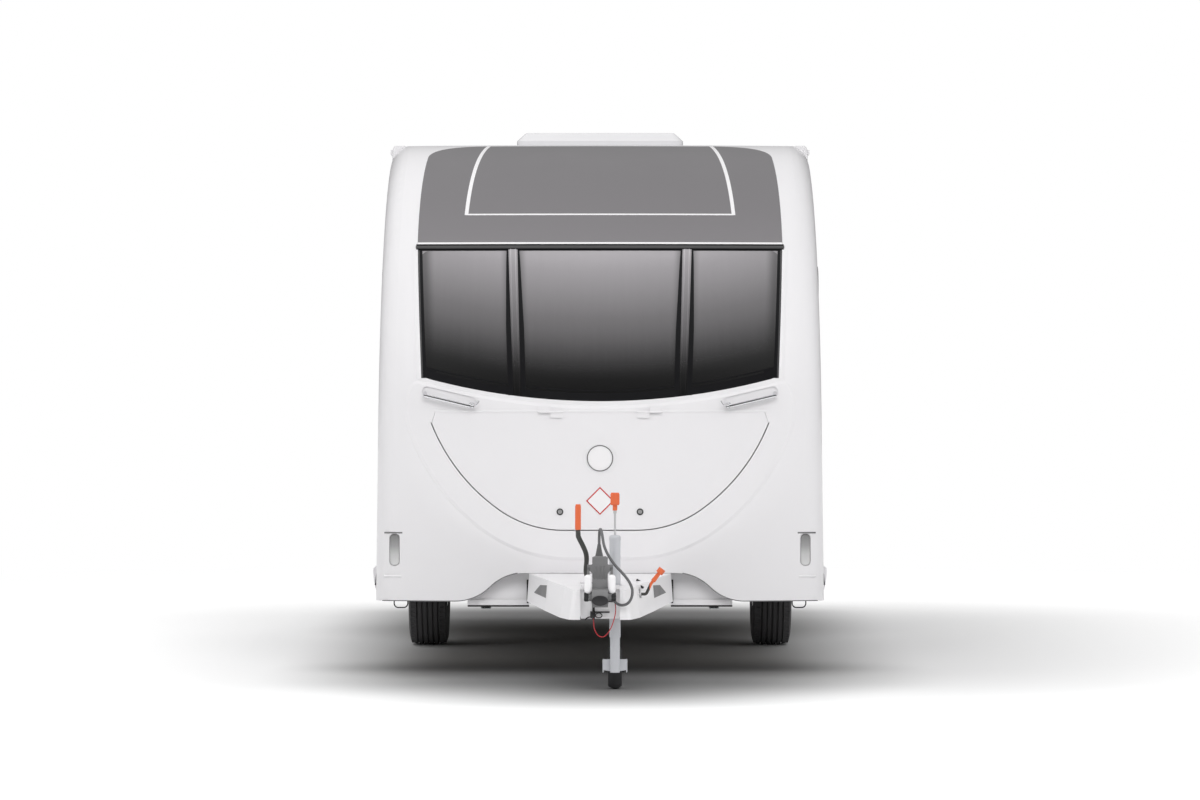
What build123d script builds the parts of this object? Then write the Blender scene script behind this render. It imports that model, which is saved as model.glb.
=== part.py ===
from build123d import *
from math import atan2, cos, degrees, radians, sin, tan
import os

os.makedirs("parts", exist_ok=True)

# Frame: the ground is Z 0, the hitch points to -Y and the entry door is on the +X side.
# All sizes are in millimetres.

# ---- driving dimensions ----
HALF_LENGTH = 3200          # from the middle to the coupling nose and to the rear bumper
HALF_WIDTH = 1095           # walls at their foot
ROOF_HALF_WIDTH = 1065      # walls at the roof, they lean inwards a little
FOOT_Z = 372                # lower edge of the front and rear mouldings
ROOF_Z = 2640
NOSE_Y = -1900              # front moulding on the centre line
TAIL_Y = 3165
WALL = 30                   # sandwich panel
FLOOR_Z = (420, 464)
WALL_FOOT_Z = 440           # the skirt covers the wall below this height
SEAM_GAP = 5                # round every door and lid

# front of the body on the centre line, as (y, z)
NOSE_TOP = (NOSE_Y, 1250)
BROW = (-1625, 2090)        # top of the front windows
FRONT_ROOF = (-700, ROOF_Z)
BOW_AXIS_Y = 4100           # the whole front is turned about this upright axis
BOW_SWEEP = 14              # degrees to each side
FRONT_CORNER = 100          # plan radius of the front corners
REAR_CORNER = 60
REAR_BROW = 300             # radius from the rear wall into the roof

# seams where the front and rear mouldings meet the side walls and the roof
ROOF_SEAM_Z = 2585
FRONT_SEAM = ((-1640, 1250), (-1375, 2065), (-430, 2500))
REAR_SEAM = ((3030, 2330), (2840, ROOF_SEAM_Z))

# running gear
AXLE = (800, 325)           # (y, z) of the wheel centres
TYRE_RADIUS = 325
TYRE_X = (823, 1028)
RIM_RADIUS = 178
HUB_BORE = 20.3
SPINDLE = 20
TUBE = (640, 350)           # (y, z) of the axle tube
ARCH_RADIUS = 395
WHEEL_BOX_X = 780
RAIL_X = 600
RAIL_Z = (290, 420)

# hitch and jockey wheel
BALL = (0, -3130, 440)
BALL_RADIUS = 25
JOCKEY = (70, -2720)        # (x, y) of the swivel axis
JOCKEY_AXLE = (-2585, 100)  # (y, z), trailing behind the swivel axis
JOCKEY_RADIUS = 100

LEAN = degrees(atan2(HALF_WIDTH - ROOF_HALF_WIDTH, ROOF_Z - FOOT_Z))


def write(build, name):
    build.part.label = name
    export_step(build.part, f"parts/{name}.step")
    print(name, len(build.part.solids()))


# ---- body shell ----
def front_turns():
    """Angle of the front from upright at the top of the windows and at the roof."""
    brow = 2 * degrees(atan2(BROW[0] - NOSE_TOP[0], BROW[1] - NOSE_TOP[1]))
    roof = 2 * degrees(atan2(FRONT_ROOF[0] - BROW[0], FRONT_ROOF[1] - BROW[1])) - brow
    return brow, roof


def ahead_of_front(depth):
    """Everything ahead of the front surface, moved inwards by depth."""
    brow, roof = front_turns()
    half = radians(BOW_SWEEP)
    plane = Plane(
        origin=(0, BOW_AXIS_Y, 0),
        x_dir=(-sin(half), -cos(half), 0),
        z_dir=(-cos(half), sin(half), 0),
    )

    def inset(point, angle):
        y = point[0] + depth * cos(radians(angle))
        return (BOW_AXIS_Y - y, point[1] - depth * sin(radians(angle)))

    far = BOW_AXIS_Y - NOSE_Y + 500
    top = ROOF_Z + 300
    foot = (inset(NOSE_TOP, 0)[0], 100)
    with BuildPart() as ahead:
        with BuildSketch(plane):
            with BuildLine():
                wall = Line(foot, inset(NOSE_TOP, 0))
                glass = TangentArc(inset(NOSE_TOP, 0), inset(BROW, brow), tangent=wall % 1)
                crown = TangentArc(inset(BROW, brow), inset(FRONT_ROOF, roof), tangent=glass % 1)
                Polyline(crown @ 1, (inset(FRONT_ROOF, roof)[0], top), (far, top), (far, 100), foot)
            make_face()
        revolve(axis=Axis((0, BOW_AXIS_Y, 0), (0, 0, 1)), revolution_arc=2 * BOW_SWEEP)
    return ahead.part


def body_block(depth):
    """The body as a solid block, its skin moved inwards by depth."""
    foot_z = FOOT_Z if depth == 0 else FOOT_Z - 50
    with BuildPart() as block:
        with BuildSketch(Plane.XZ.offset(-TAIL_Y + depth)):
            with BuildLine():
                Polyline(
                    (-HALF_WIDTH + depth, foot_z),
                    (HALF_WIDTH - depth, foot_z),
                    (ROOF_HALF_WIDTH - depth, ROOF_Z - depth),
                    (-ROOF_HALF_WIDTH + depth, ROOF_Z - depth),
                    close=True,
                )
            make_face()
        extrude(amount=TAIL_Y - NOSE_Y + 300)
        add(ahead_of_front(depth), mode=Mode.SUBTRACT)
        rear_top = block.edges().filter_by(Axis.X).group_by(Axis.Z)[-1].sort_by(Axis.Y)[-1]
        fillet(rear_top, REAR_BROW - depth)
        if depth == 0:
            upright = block.edges().filter_by(lambda edge: abs(edge.center().X) > 1040)
            upright = upright.filter_by(lambda edge: FOOT_Z + 5 < edge.center().Z < ROOF_Z - 1)
            fillet(upright.filter_by(lambda edge: edge.center().Y < -500), FRONT_CORNER)
            upright = block.edges().filter_by(lambda edge: abs(edge.center().X) > 1040)
            upright = upright.filter_by(lambda edge: FOOT_Z + 5 < edge.center().Z < ROOF_Z - 1)
            fillet(upright.filter_by(lambda edge: edge.bounding_box().min.Y > 2850), REAR_CORNER)
    return block.part


def side_plane(side):
    """Plane on the outer face of a wall: local x runs along the caravan, local y up the wall."""
    lean = radians(LEAN)
    return Plane(
        origin=(side * HALF_WIDTH, 0, FOOT_Z),
        x_dir=(0, side, 0),
        z_dir=(side * cos(lean), 0, sin(lean)),
    )


outer_block = body_block(0)
cavity = body_block(WALL)

with BuildPart() as shell:
    add(outer_block)
    add(cavity, mode=Mode.SUBTRACT)

with BuildPart() as front_region:
    with BuildSketch(Plane.YZ):
        with BuildLine():
            Line((FRONT_SEAM[0][0], 200), FRONT_SEAM[0])
            glass_seam = TangentArc(FRONT_SEAM[0], FRONT_SEAM[1], tangent=(0, 1))
            TangentArc(FRONT_SEAM[1], FRONT_SEAM[2], tangent=glass_seam % 1)
            Polyline(FRONT_SEAM[2], (FRONT_SEAM[2][0], 2800), (-2600, 2800), (-2600, 200), (FRONT_SEAM[0][0], 200))
        make_face()
    extrude(amount=1300, both=True)

with BuildPart() as rear_region:
    with BuildSketch(Plane.YZ):
        with BuildLine():
            Line((REAR_SEAM[0][0], 200), REAR_SEAM[0])
            TangentArc(REAR_SEAM[0], REAR_SEAM[1], tangent=(0, 1))
            Polyline(REAR_SEAM[1], (REAR_SEAM[1][0], 2800), (3500, 2800), (3500, 200), (REAR_SEAM[0][0], 200))
        make_face()
    extrude(amount=1300, both=True)


# ---- front windows, locker lid and arch, as seen from ahead ----
GLASS_TOP = (888, 2083)
GLASS_FOOT = (862, 1477)
GLASS_FOOT_MIDDLE_Z = 1361
GLASS_CORNER = 55
PILLAR = (405, 425)         # inner and outer edge of the strip between two panes
PANE = 12                   # acrylic and its seal
PANE_REBATE = 16
LID_TOP_Z = 1292
LID_TOP_GAP = 2             # at the hinge edge
LID_TOP_X = 800
LID_SHOULDER = (817, 1239)
LID_HIP = (485, 818)
LID_FOOT = (180, 722)       # the foot is straight between the two
ARCH_FOOT = (704, 372)
ARCH_CROWN = (364, 512)
# the middle of the front stands proud of the lower corners, from a lip under the windows down to a rounded foot
SHIELD = 6
SHIELD_BEVEL = (5, 15)      # down the edge and across the face
SHIELD_CORNER = 40
SHIELD_LIP = 38             # the lip below the foot of the panes
SHIELD_TOP_X = 905
SHIELD_SIDE = (935, 1203)
SHIELD_HIP = (560, 705)
SHIELD_FOOT = (150, 574)


def glass_face(margin):
    with BuildSketch() as face:
        with BuildLine():
            foot = ThreePointArc((-GLASS_FOOT[0], GLASS_FOOT[1]), (0, GLASS_FOOT_MIDDLE_Z), GLASS_FOOT)
            Polyline(foot @ 1, GLASS_TOP, (-GLASS_TOP[0], GLASS_TOP[1]), foot @ 0)
        make_face()
        fillet(face.vertices(), GLASS_CORNER)
        if margin:
            offset(amount=margin)
    return face.sketch


def pane_face(left, right, margin):
    with BuildSketch() as face:
        add(glass_face(margin))
        with Locations(((left + right) / 2, (GLASS_TOP[1] + GLASS_FOOT_MIDDLE_Z) / 2)):
            Rectangle(right - left + 2 * margin, 1200, mode=Mode.INTERSECT)
    return face.sketch


def lid_face(margin):
    with BuildSketch() as face:
        with BuildLine():
            foot = Line((0, LID_FOOT[1]), LID_FOOT)
            hip = TangentArc(LID_FOOT, LID_HIP, tangent=foot % 1)
            TangentArc(LID_HIP, LID_SHOULDER, tangent=hip % 1)
            Polyline(LID_SHOULDER, (LID_TOP_X, LID_TOP_Z), (0, LID_TOP_Z), (0, LID_FOOT[1]))
        make_face()
        mirror(about=Plane.YZ)
        if margin:
            offset(amount=margin)
    return face.sketch


def shield_face():
    with BuildSketch() as face:
        with BuildLine():
            foot = Line((0, SHIELD_FOOT[1]), SHIELD_FOOT)
            hip = TangentArc(SHIELD_FOOT, SHIELD_HIP, tangent=foot % 1)
            side = TangentArc(SHIELD_HIP, SHIELD_SIDE, tangent=hip % 1)
            middle = (0, GLASS_FOOT_MIDDLE_Z - SHIELD_LIP)
            rise = (GLASS_FOOT[1] - GLASS_FOOT_MIDDLE_Z) * (SHIELD_TOP_X / GLASS_FOOT[0]) ** 2
            top = (SHIELD_TOP_X, middle[1] + rise)
            TangentArc(SHIELD_SIDE, top, tangent=side % 1)
            ThreePointArc(top, (top[0] / 2, middle[1] + rise / 4), middle)
            Line(middle, (0, SHIELD_FOOT[1]))
        make_face()
        fillet(face.vertices().sort_by(Axis.Y)[-1], SHIELD_CORNER)
        mirror(about=Plane.YZ)
    return face.sketch


def arch_face():
    middle = ((ARCH_FOOT[0] + ARCH_CROWN[0]) / 2, (ARCH_FOOT[1] + ARCH_CROWN[1]) / 2)
    with BuildSketch() as face:
        with BuildLine():
            low = TangentArc(ARCH_FOOT, middle, tangent=(-1, 0))
            TangentArc(middle, ARCH_CROWN, tangent=low % 1)
            Polyline(ARCH_CROWN, (0, ARCH_CROWN[1]), (0, 200), (ARCH_FOOT[0], 200), ARCH_FOOT)
        make_face()
        mirror(about=Plane.YZ)
    return face.sketch


HANDLE_RECESS = (733, 1364, 272, 54)        # x and z of the middle, length, height
HANDLE_SLOPE = 13.3                         # degrees
MARKER = (1000, 622)        # x and z of the middle of a front marker lamp
MARKER_SIZE = (44, 150)
MARKER_FLOOR = 16           # depth of the pocket that holds the lamp


def handle_face():
    with BuildSketch() as face:
        with Locations(Location((HANDLE_RECESS[0], HANDLE_RECESS[1], 0), (0, 0, HANDLE_SLOPE))):
            SlotOverall(HANDLE_RECESS[2], HANDLE_RECESS[3])
        mirror(about=Plane.YZ)
    return face.sketch


def marker_face(margin):
    with BuildSketch() as face:
        with Locations(MARKER, (-MARKER[0], MARKER[1])):
            RectangleRounded(MARKER_SIZE[0] + 2 * margin, MARKER_SIZE[1] + 2 * margin, 18 + margin)
    return face.sketch


def front_layer(outer, inner, face):
    """The layer of the front between two depths, cut to a face seen from ahead."""
    with BuildPart() as layer:
        add(ahead_of_front(inner))
        add(ahead_of_front(outer), mode=Mode.SUBTRACT)
        with BuildSketch(Plane.XZ.offset(900)):
            add(face)
        extrude(amount=1500, mode=Mode.INTERSECT)
    return layer.part


# panes, as (left, right) edges seen from ahead
FRONT_PANES = (
    (-1000, -PILLAR[1]),
    (-PILLAR[0], PILLAR[0]),
    (PILLAR[1], 1000),
)

with BuildPart() as front_windows:
    for left, right in FRONT_PANES:
        add(front_layer(0, PANE, pane_face(left, right, 0)))

with BuildPart() as window_surround:
    add(front_layer(0, PANE, glass_face(PANE_REBATE)))
    for left, right in FRONT_PANES:
        with BuildSketch(Plane.XZ.offset(900)):
            add(pane_face(left, right, 0))
        extrude(amount=1500, mode=Mode.SUBTRACT)

with BuildPart() as shield:
    add(front_layer(-SHIELD, 1, shield_face()))
    foot_skin, top_skin = shield.faces().sort_by(SortBy.AREA)[-4:].sort_by(Axis.Y)[:2]
    rim = (foot_skin.edges() + top_skin.edges()).filter_by(lambda edge: abs(edge.center().Z - NOSE_TOP[1]) > 1)
    chamfer(rim, *SHIELD_BEVEL)

with BuildPart() as front_panel:
    add(shell.part)
    add(front_region.part, mode=Mode.INTERSECT)
    add(shield.part)
    add(front_layer(-SHIELD - 1, 3, handle_face()), mode=Mode.SUBTRACT)
    add(front_layer(-1, MARKER_FLOOR, marker_face(3)), mode=Mode.SUBTRACT)
    add(front_layer(-5, PANE, glass_face(PANE_REBATE)), mode=Mode.SUBTRACT)
    for left, right in FRONT_PANES:
        with BuildSketch(Plane.XZ.offset(900)):
            add(pane_face(left, right, -18))
        extrude(amount=1500, mode=Mode.SUBTRACT)
    with BuildSketch(Plane.XZ.offset(1500)):
        add(lid_face(SEAM_GAP))
        with Locations((0, LID_TOP_Z + LID_TOP_GAP + 50)):
            Rectangle(2 * HALF_WIDTH, 100, mode=Mode.SUBTRACT)
        add(arch_face())
    extrude(amount=900, mode=Mode.SUBTRACT)

LID_RIM = (3, 12)           # depth of the rim, and of the step behind it
LID_STEP_INSET = 9
LID_CORE_INSET = 35         # the core fills the wall's depth and is set in from the rim
LID_HINGE = (NOSE_Y - SHIELD - 8, LID_TOP_Z + 1)    # (y, z)
LID_HINGE_RADIUS = 5
LID_KNUCKLE_X = (180, 240, 300)             # the lid's knuckle, then the frame's
LID_LEAF = (15, 26)                         # depth and height of a hinge leaf
with BuildPart() as gas_locker_lid:
    add(front_layer(-SHIELD, LID_RIM[0], lid_face(0)))
    add(front_layer(LID_RIM[0], LID_RIM[1], lid_face(-LID_STEP_INSET)))
    add(front_layer(LID_RIM[1], WALL, lid_face(-LID_CORE_INSET)))
    for x in (LID_KNUCKLE_X[0], -LID_KNUCKLE_X[1]):
        with BuildSketch(Plane.YZ.offset(x)):
            with Locations(LID_HINGE):
                Circle(LID_HINGE_RADIUS)
            with Locations((LID_HINGE[0] + LID_LEAF[0] / 2, LID_HINGE[1] - 2 - LID_LEAF[1] / 2)):
                Rectangle(*LID_LEAF)
        extrude(amount=LID_KNUCKLE_X[1] - LID_KNUCKLE_X[0])
write(gas_locker_lid, "gas_locker_lid")

with BuildPart() as lid_hinge:
    with BuildSketch(Plane.YZ.offset(LID_KNUCKLE_X[1] + 0.5)):
        with Locations(LID_HINGE):
            Circle(LID_HINGE_RADIUS)
        with Locations((LID_HINGE[0] + LID_LEAF[0] / 2, LID_HINGE[1] + 2 + LID_LEAF[1] / 2)):
            Rectangle(*LID_LEAF)
    extrude(amount=LID_KNUCKLE_X[2] - LID_KNUCKLE_X[1])
    add(front_panel.part, mode=Mode.SUBTRACT)
    mirror(about=Plane.YZ)
write(lid_hinge, "lid_hinge")

# ---- gas locker behind the lid ----
LOCKER_X = 760
LOCKER_Y = (-1790, -1380)
LOCKER_Z = (376, 1318)
LOCKER_SKIN = 6
with BuildPart() as gas_locker_box:
    with BuildSketch(Plane.XY.offset(LOCKER_Z[0])):
        with Locations((0, (LOCKER_Y[0] + LOCKER_Y[1]) / 2)):
            Rectangle(2 * LOCKER_X, LOCKER_Y[1] - LOCKER_Y[0])
    extrude(amount=LOCKER_Z[1] - LOCKER_Z[0])
    with BuildSketch(Plane.XY.offset(LOCKER_Z[0] + LOCKER_SKIN)):
        with Locations((0, (LOCKER_Y[0] + LOCKER_Y[1]) / 2)):
            Rectangle(2 * (LOCKER_X - LOCKER_SKIN), LOCKER_Y[1] - LOCKER_Y[0] - 2 * LOCKER_SKIN)
    extrude(amount=LOCKER_Z[1] - LOCKER_Z[0] - 2 * LOCKER_SKIN, mode=Mode.SUBTRACT)
    with BuildSketch(Plane.XZ.offset(-LOCKER_Y[0] - 50)):
        with Locations((0, (700 + LOCKER_Z[1] - 60) / 2)):
            Rectangle(2 * LOCKER_X - 80, LOCKER_Z[1] - 760)
    extrude(amount=100, mode=Mode.SUBTRACT)
write(gas_locker_box, "gas_locker_box")

# ---- floor, roof and rear ----
ROOFLIGHT_X = 431
ROOFLIGHT_Y = (-330, 330)
ROOFLIGHT_HOLE = 60          # frame width inside the rooflight's edge
REAR_VENT = (2150, 200)      # y of its middle, half side

with BuildPart() as wheel_boxes:
    with BuildSketch(Plane.YZ.offset(WHEEL_BOX_X)):
        with Locations(AXLE):
            Circle(ARCH_RADIUS + 15)
        with Locations((AXLE[0], FLOOR_Z[0] - 500)):
            Rectangle(1200, 1000, mode=Mode.SUBTRACT)
    extrude(amount=HALF_WIDTH - WHEEL_BOX_X)
    add(cavity, mode=Mode.INTERSECT)
    with BuildSketch(Plane.YZ.offset(WHEEL_BOX_X + 8)):
        with Locations(AXLE):
            Circle(ARCH_RADIUS + 7)
    extrude(amount=HALF_WIDTH - WHEEL_BOX_X, mode=Mode.SUBTRACT)
    mirror(about=Plane.YZ)
write(wheel_boxes, "wheel_boxes")

with BuildPart() as floor:
    add(cavity)
    with BuildSketch(Plane.XY.offset(FLOOR_Z[0])):
        Rectangle(2400, 7000)
    extrude(amount=FLOOR_Z[1] - FLOOR_Z[0], mode=Mode.INTERSECT)
    with BuildSketch(Plane.YZ.offset(WHEEL_BOX_X)):
        with Locations(AXLE):
            Circle(ARCH_RADIUS + 15)
    extrude(amount=500, mode=Mode.SUBTRACT)
    with BuildSketch(Plane.YZ.offset(-WHEEL_BOX_X)):
        with Locations(AXLE):
            Circle(ARCH_RADIUS + 15)
    extrude(amount=-500, mode=Mode.SUBTRACT)
    with BuildSketch(Plane.XY):
        with Locations((0, (LOCKER_Y[1] - 2400) / 2)):
            Rectangle(2 * LOCKER_X, LOCKER_Y[1] + 2400)
    extrude(amount=900, mode=Mode.SUBTRACT)
write(floor, "floor")

with BuildPart() as roof:
    add(shell.part)
    add(front_region.part, mode=Mode.SUBTRACT)
    add(rear_region.part, mode=Mode.SUBTRACT)
    with BuildSketch(Plane.XY.offset(ROOF_SEAM_Z)):
        Rectangle(2400, 7000)
    extrude(amount=200, mode=Mode.INTERSECT)
    with BuildSketch(Plane.XY.offset(ROOF_SEAM_Z)):
        Rectangle(2 * (ROOFLIGHT_X - ROOFLIGHT_HOLE), ROOFLIGHT_Y[1] - ROOFLIGHT_Y[0] - 2 * ROOFLIGHT_HOLE)
        with Locations((0, REAR_VENT[0])):
            Rectangle(2 * REAR_VENT[1] - 60, 2 * REAR_VENT[1] - 60)
    extrude(amount=200, mode=Mode.SUBTRACT)
write(roof, "roof")

DOME_BASE_Z = 2679
DOME_TOP = (384, 2722)
with BuildPart() as rooflights:
    with BuildSketch(Plane.XY.offset(ROOF_Z)):
        RectangleRounded(2 * ROOFLIGHT_X, ROOFLIGHT_Y[1] - ROOFLIGHT_Y[0], 60)
    extrude(amount=DOME_BASE_Z - ROOF_Z)
    with BuildSketch(Plane.XY.offset(DOME_BASE_Z)):
        RectangleRounded(2 * ROOFLIGHT_X, ROOFLIGHT_Y[1] - ROOFLIGHT_Y[0], 60)
    dome_taper = degrees(atan2(ROOFLIGHT_X - DOME_TOP[0], DOME_TOP[1] - DOME_BASE_Z))
    extrude(amount=DOME_TOP[1] - DOME_BASE_Z, taper=dome_taper)
    fillet(rooflights.faces().sort_by(Axis.Z)[-1].edges(), 18)
    with BuildSketch(Plane.XY.offset(ROOF_Z)):
        Rectangle(2 * (ROOFLIGHT_X - ROOFLIGHT_HOLE), ROOFLIGHT_Y[1] - ROOFLIGHT_Y[0] - 2 * ROOFLIGHT_HOLE)
    extrude(amount=DOME_BASE_Z + 25 - ROOF_Z, mode=Mode.SUBTRACT)
    with BuildSketch(Plane.XY.offset(ROOF_Z)):
        with Locations((0, REAR_VENT[0])):
            RectangleRounded(2 * REAR_VENT[1], 2 * REAR_VENT[1], 40)
    extrude(amount=45, taper=20)
    with BuildSketch(Plane.XY.offset(ROOF_Z)):
        with Locations((0, REAR_VENT[0])):
            Rectangle(2 * REAR_VENT[1] - 60, 2 * REAR_VENT[1] - 60)
    extrude(amount=25, mode=Mode.SUBTRACT)
write(rooflights, "rooflights")

REAR_WINDOW = (0, 1690, 1500, 560)      # x and z of its middle, width, height
REAR_PANE_X = REAR_WINDOW[2] / 2
with BuildPart() as rear_panel:
    add(shell.part)
    add(rear_region.part, mode=Mode.INTERSECT)
    with BuildSketch(Plane.XZ.offset(-TAIL_Y - 50)):
        with Locations(REAR_WINDOW[:2]):
            RectangleRounded(REAR_WINDOW[2], REAR_WINDOW[3], 70)
    extrude(amount=50 + PANE, mode=Mode.SUBTRACT)
    with BuildSketch(Plane.XZ.offset(-TAIL_Y - 50)):
        with Locations(REAR_WINDOW[:2]):
            RectangleRounded(REAR_WINDOW[2] - 40, REAR_WINDOW[3] - 40, 60)
    extrude(amount=200, mode=Mode.SUBTRACT)
write(rear_panel, "rear_panel")

with BuildPart() as rear_window:
    with BuildSketch(Plane.XZ.offset(-TAIL_Y)):
        with Locations(REAR_WINDOW[:2]):
            RectangleRounded(REAR_WINDOW[2], REAR_WINDOW[3], 70)
    extrude(amount=PANE)
write(rear_window, "rear_window")

write(front_panel, "front_panel")
write(front_windows, "front_windows")
write(window_surround, "window_surround")

# ---- side walls, with the entry door and hatches ----
# openings in the walls; side +1 is the entry side, y and z are the middle, then length and height
SIDE_WINDOWS = (
    # side, y, z, length, height
    (1, -1080, 1720, 560, 560),
    (1, 520, 1760, 760, 460),
    (1, 2230, 1720, 980, 560),
    (-1, -780, 1720, 1060, 560),
    (-1, 900, 1760, 640, 440),
    (-1, 2230, 1720, 980, 560),
)
# hinged leaves in the walls: side, hinge y, free y, foot z, top z
ENTRY_DOOR = (1, -560, 60, 548, 2300)
BATTERY_HATCH = (-1, -1180, -800, 640, 930)
CASSETTE_HATCH = (-1, 1560, 1980, 620, 980)
LEAF_CORNER = 45
HINGE_OUT = 8               # pin of a leaf's hinge outside the wall
HINGE_RADIUS = 7
DOOR_WINDOW = (-250, 1830, 380, 640)


def wall_level(z):
    return (z - FOOT_Z) / cos(radians(LEAN))


def wall_rectangle(side, y, z, length, height, radius):
    with BuildSketch() as face:
        with Locations((side * y, wall_level(z))):
            RectangleRounded(length, height, radius)
    return face.sketch


def leaf_rectangle(leaf, margin):
    side, hinge_y, free_y, foot, top = leaf
    length = abs(free_y - hinge_y) + 2 * margin
    return wall_rectangle(side, (hinge_y + free_y) / 2, (foot + top) / 2, length, top - foot + 2 * margin,
                          LEAF_CORNER + margin)


def hinge_pins(leaf, spans, radius):
    """Hinge knuckles outside the wall, as spans of height along the leaf's hinge edge."""
    side, hinge_y = leaf[:2]
    with BuildPart() as pins:
        for low, high in spans:
            plane = side_plane(side)
            along = Plane(origin=plane.from_local_coords((side * (hinge_y - 2), wall_level(low), HINGE_OUT)),
                          x_dir=(0, side, 0), z_dir=plane.y_dir)
            with BuildSketch(along):
                Circle(radius)
            extrude(amount=high - low)
    return pins.part


LOCK_RADIUS = 14
LOCK_OUT = 5


def leaf_part(leaf, knuckles, locks):
    """A hinged leaf with its half of the hinges and, at each y and z in locks, a round turn lock."""
    side, hinge_y = leaf[:2]
    with BuildPart() as piece:
        with BuildSketch(side_plane(side)):
            add(leaf_rectangle(leaf, 0))
        extrude(amount=-WALL)
        for low, high in knuckles:
            with BuildSketch(side_plane(side)):
                with Locations((side * (hinge_y + 12), wall_level((low + high) / 2))):
                    Rectangle(28, high - low)
            extrude(amount=4)
        add(hinge_pins(leaf, knuckles, HINGE_RADIUS))
        for y, z in locks:
            with BuildSketch(side_plane(side)):
                with Locations((side * y, wall_level(z))):
                    Circle(LOCK_RADIUS)
            extrude(amount=LOCK_OUT)
            with BuildSketch(side_plane(side).offset(LOCK_OUT)):
                with Locations((side * y, wall_level(z))):
                    SlotOverall(2 * LOCK_RADIUS - 6, 5)
            extrude(amount=3)
    return piece


DOOR_KNUCKLES = ((760, 800), (1380, 1420), (2060, 2100))
HATCH_KNUCKLE = 30
FRAME_KNUCKLE = 26


def frame_knuckles(leaf, knuckles):
    """The wall's half of each hinge: a knuckle under the leaf's and a plate on the wall."""
    side, hinge_y = leaf[:2]
    spans = [(low - FRAME_KNUCKLE, low - 0.5) for low, high in knuckles]
    with BuildPart() as piece:
        for low, high in spans:
            with BuildSketch(side_plane(side)):
                with Locations((side * (hinge_y - 16), wall_level((low + high) / 2))):
                    Rectangle(28, high - low)
            extrude(amount=4)
        add(hinge_pins(leaf, spans, HINGE_RADIUS))
    return piece


def side_wall(side):
    windows = [row for row in SIDE_WINDOWS if row[0] == side]
    leaves = [row for row in (ENTRY_DOOR, BATTERY_HATCH, CASSETTE_HATCH) if row[0] == side]
    with BuildPart() as wall:
        with BuildSketch(Plane.XY.offset(WALL_FOOT_Z)):
            with Locations((side * HALF_WIDTH, 500)):
                Rectangle(200, 6000)
        extrude(amount=ROOF_SEAM_Z - WALL_FOOT_Z)
        add(shell.part, mode=Mode.INTERSECT)
        add(front_region.part, mode=Mode.SUBTRACT)
        add(rear_region.part, mode=Mode.SUBTRACT)
        with BuildSketch(Plane.YZ.offset(side * (HALF_WIDTH - 200))):
            with Locations(AXLE):
                Circle(ARCH_RADIUS)
        extrude(amount=side * 300, mode=Mode.SUBTRACT)
        with BuildSketch(side_plane(side)):
            for row in windows:
                add(wall_rectangle(*row, 70))
        extrude(amount=-PANE, mode=Mode.SUBTRACT)
        with BuildSketch(side_plane(side)):
            for row in windows:
                add(wall_rectangle(side, row[1], row[2], row[3] - 36, row[4] - 36, 55))
            for leaf in leaves:
                add(leaf_rectangle(leaf, SEAM_GAP))
        extrude(amount=-2 * WALL, mode=Mode.SUBTRACT)
    return wall


side_wall_right = side_wall(1)
side_wall_left = side_wall(-1)
write(side_wall_right, "side_wall_right")
write(side_wall_left, "side_wall_left")

with BuildPart() as side_windows:
    for row in SIDE_WINDOWS:
        with BuildSketch(side_plane(row[0])):
            add(wall_rectangle(*row, 70))
        extrude(amount=-PANE)
write(side_windows, "side_windows")

# the handle: a raised surround, a pocket for the fingers and a paddle in it, as y, z, length, height
DOOR_HANDLE = (0, 1330, 88, 150)
HANDLE_OUT = 8
PADDLE_DEPTH = (-4, 5)      # pocket floor and paddle face, from the door's skin
with BuildPart() as entry_door:
    add(leaf_part(ENTRY_DOOR, DOOR_KNUCKLES, ()).part)
    y, z, length, height = DOOR_HANDLE
    with BuildSketch(side_plane(1)):
        add(wall_rectangle(1, y, z, length, height, 22))
    extrude(amount=HANDLE_OUT)
    with BuildSketch(side_plane(1).offset(HANDLE_OUT)):
        add(wall_rectangle(1, y, z, length - 22, height - 22, 13))
    extrude(amount=PADDLE_DEPTH[0] - HANDLE_OUT, mode=Mode.SUBTRACT)
    with BuildSketch(side_plane(1).offset(PADDLE_DEPTH[0])):
        add(wall_rectangle(1, y + 10, z, length - 48, height - 34, 8))
    extrude(amount=PADDLE_DEPTH[1] - PADDLE_DEPTH[0])
    with BuildSketch(side_plane(1)):
        add(wall_rectangle(1, *DOOR_WINDOW, 60))
    extrude(amount=-PANE, mode=Mode.SUBTRACT)
    with BuildSketch(side_plane(1)):
        add(wall_rectangle(1, DOOR_WINDOW[0], DOOR_WINDOW[1], DOOR_WINDOW[2] - 30, DOOR_WINDOW[3] - 30, 45))
    extrude(amount=-2 * WALL, mode=Mode.SUBTRACT)
write(entry_door, "entry_door")

with BuildPart() as door_window:
    with BuildSketch(side_plane(1)):
        add(wall_rectangle(1, *DOOR_WINDOW, 60))
    extrude(amount=-PANE)
write(door_window, "door_window")

battery_knuckles = ((700, 700 + HATCH_KNUCKLE), (850, 850 + HATCH_KNUCKLE))
cassette_knuckles = ((680, 680 + HATCH_KNUCKLE), (880, 880 + HATCH_KNUCKLE))
write(leaf_part(BATTERY_HATCH, battery_knuckles, ((-838, 785),)), "battery_hatch")
write(leaf_part(CASSETTE_HATCH, cassette_knuckles, ((1942, 710), (1942, 890))), "cassette_hatch")

with BuildPart() as wall_hinges:
    add(frame_knuckles(ENTRY_DOOR, DOOR_KNUCKLES).part)
    add(frame_knuckles(BATTERY_HATCH, battery_knuckles).part)
    add(frame_knuckles(CASSETTE_HATCH, cassette_knuckles).part)
write(wall_hinges, "wall_hinges")

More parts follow.
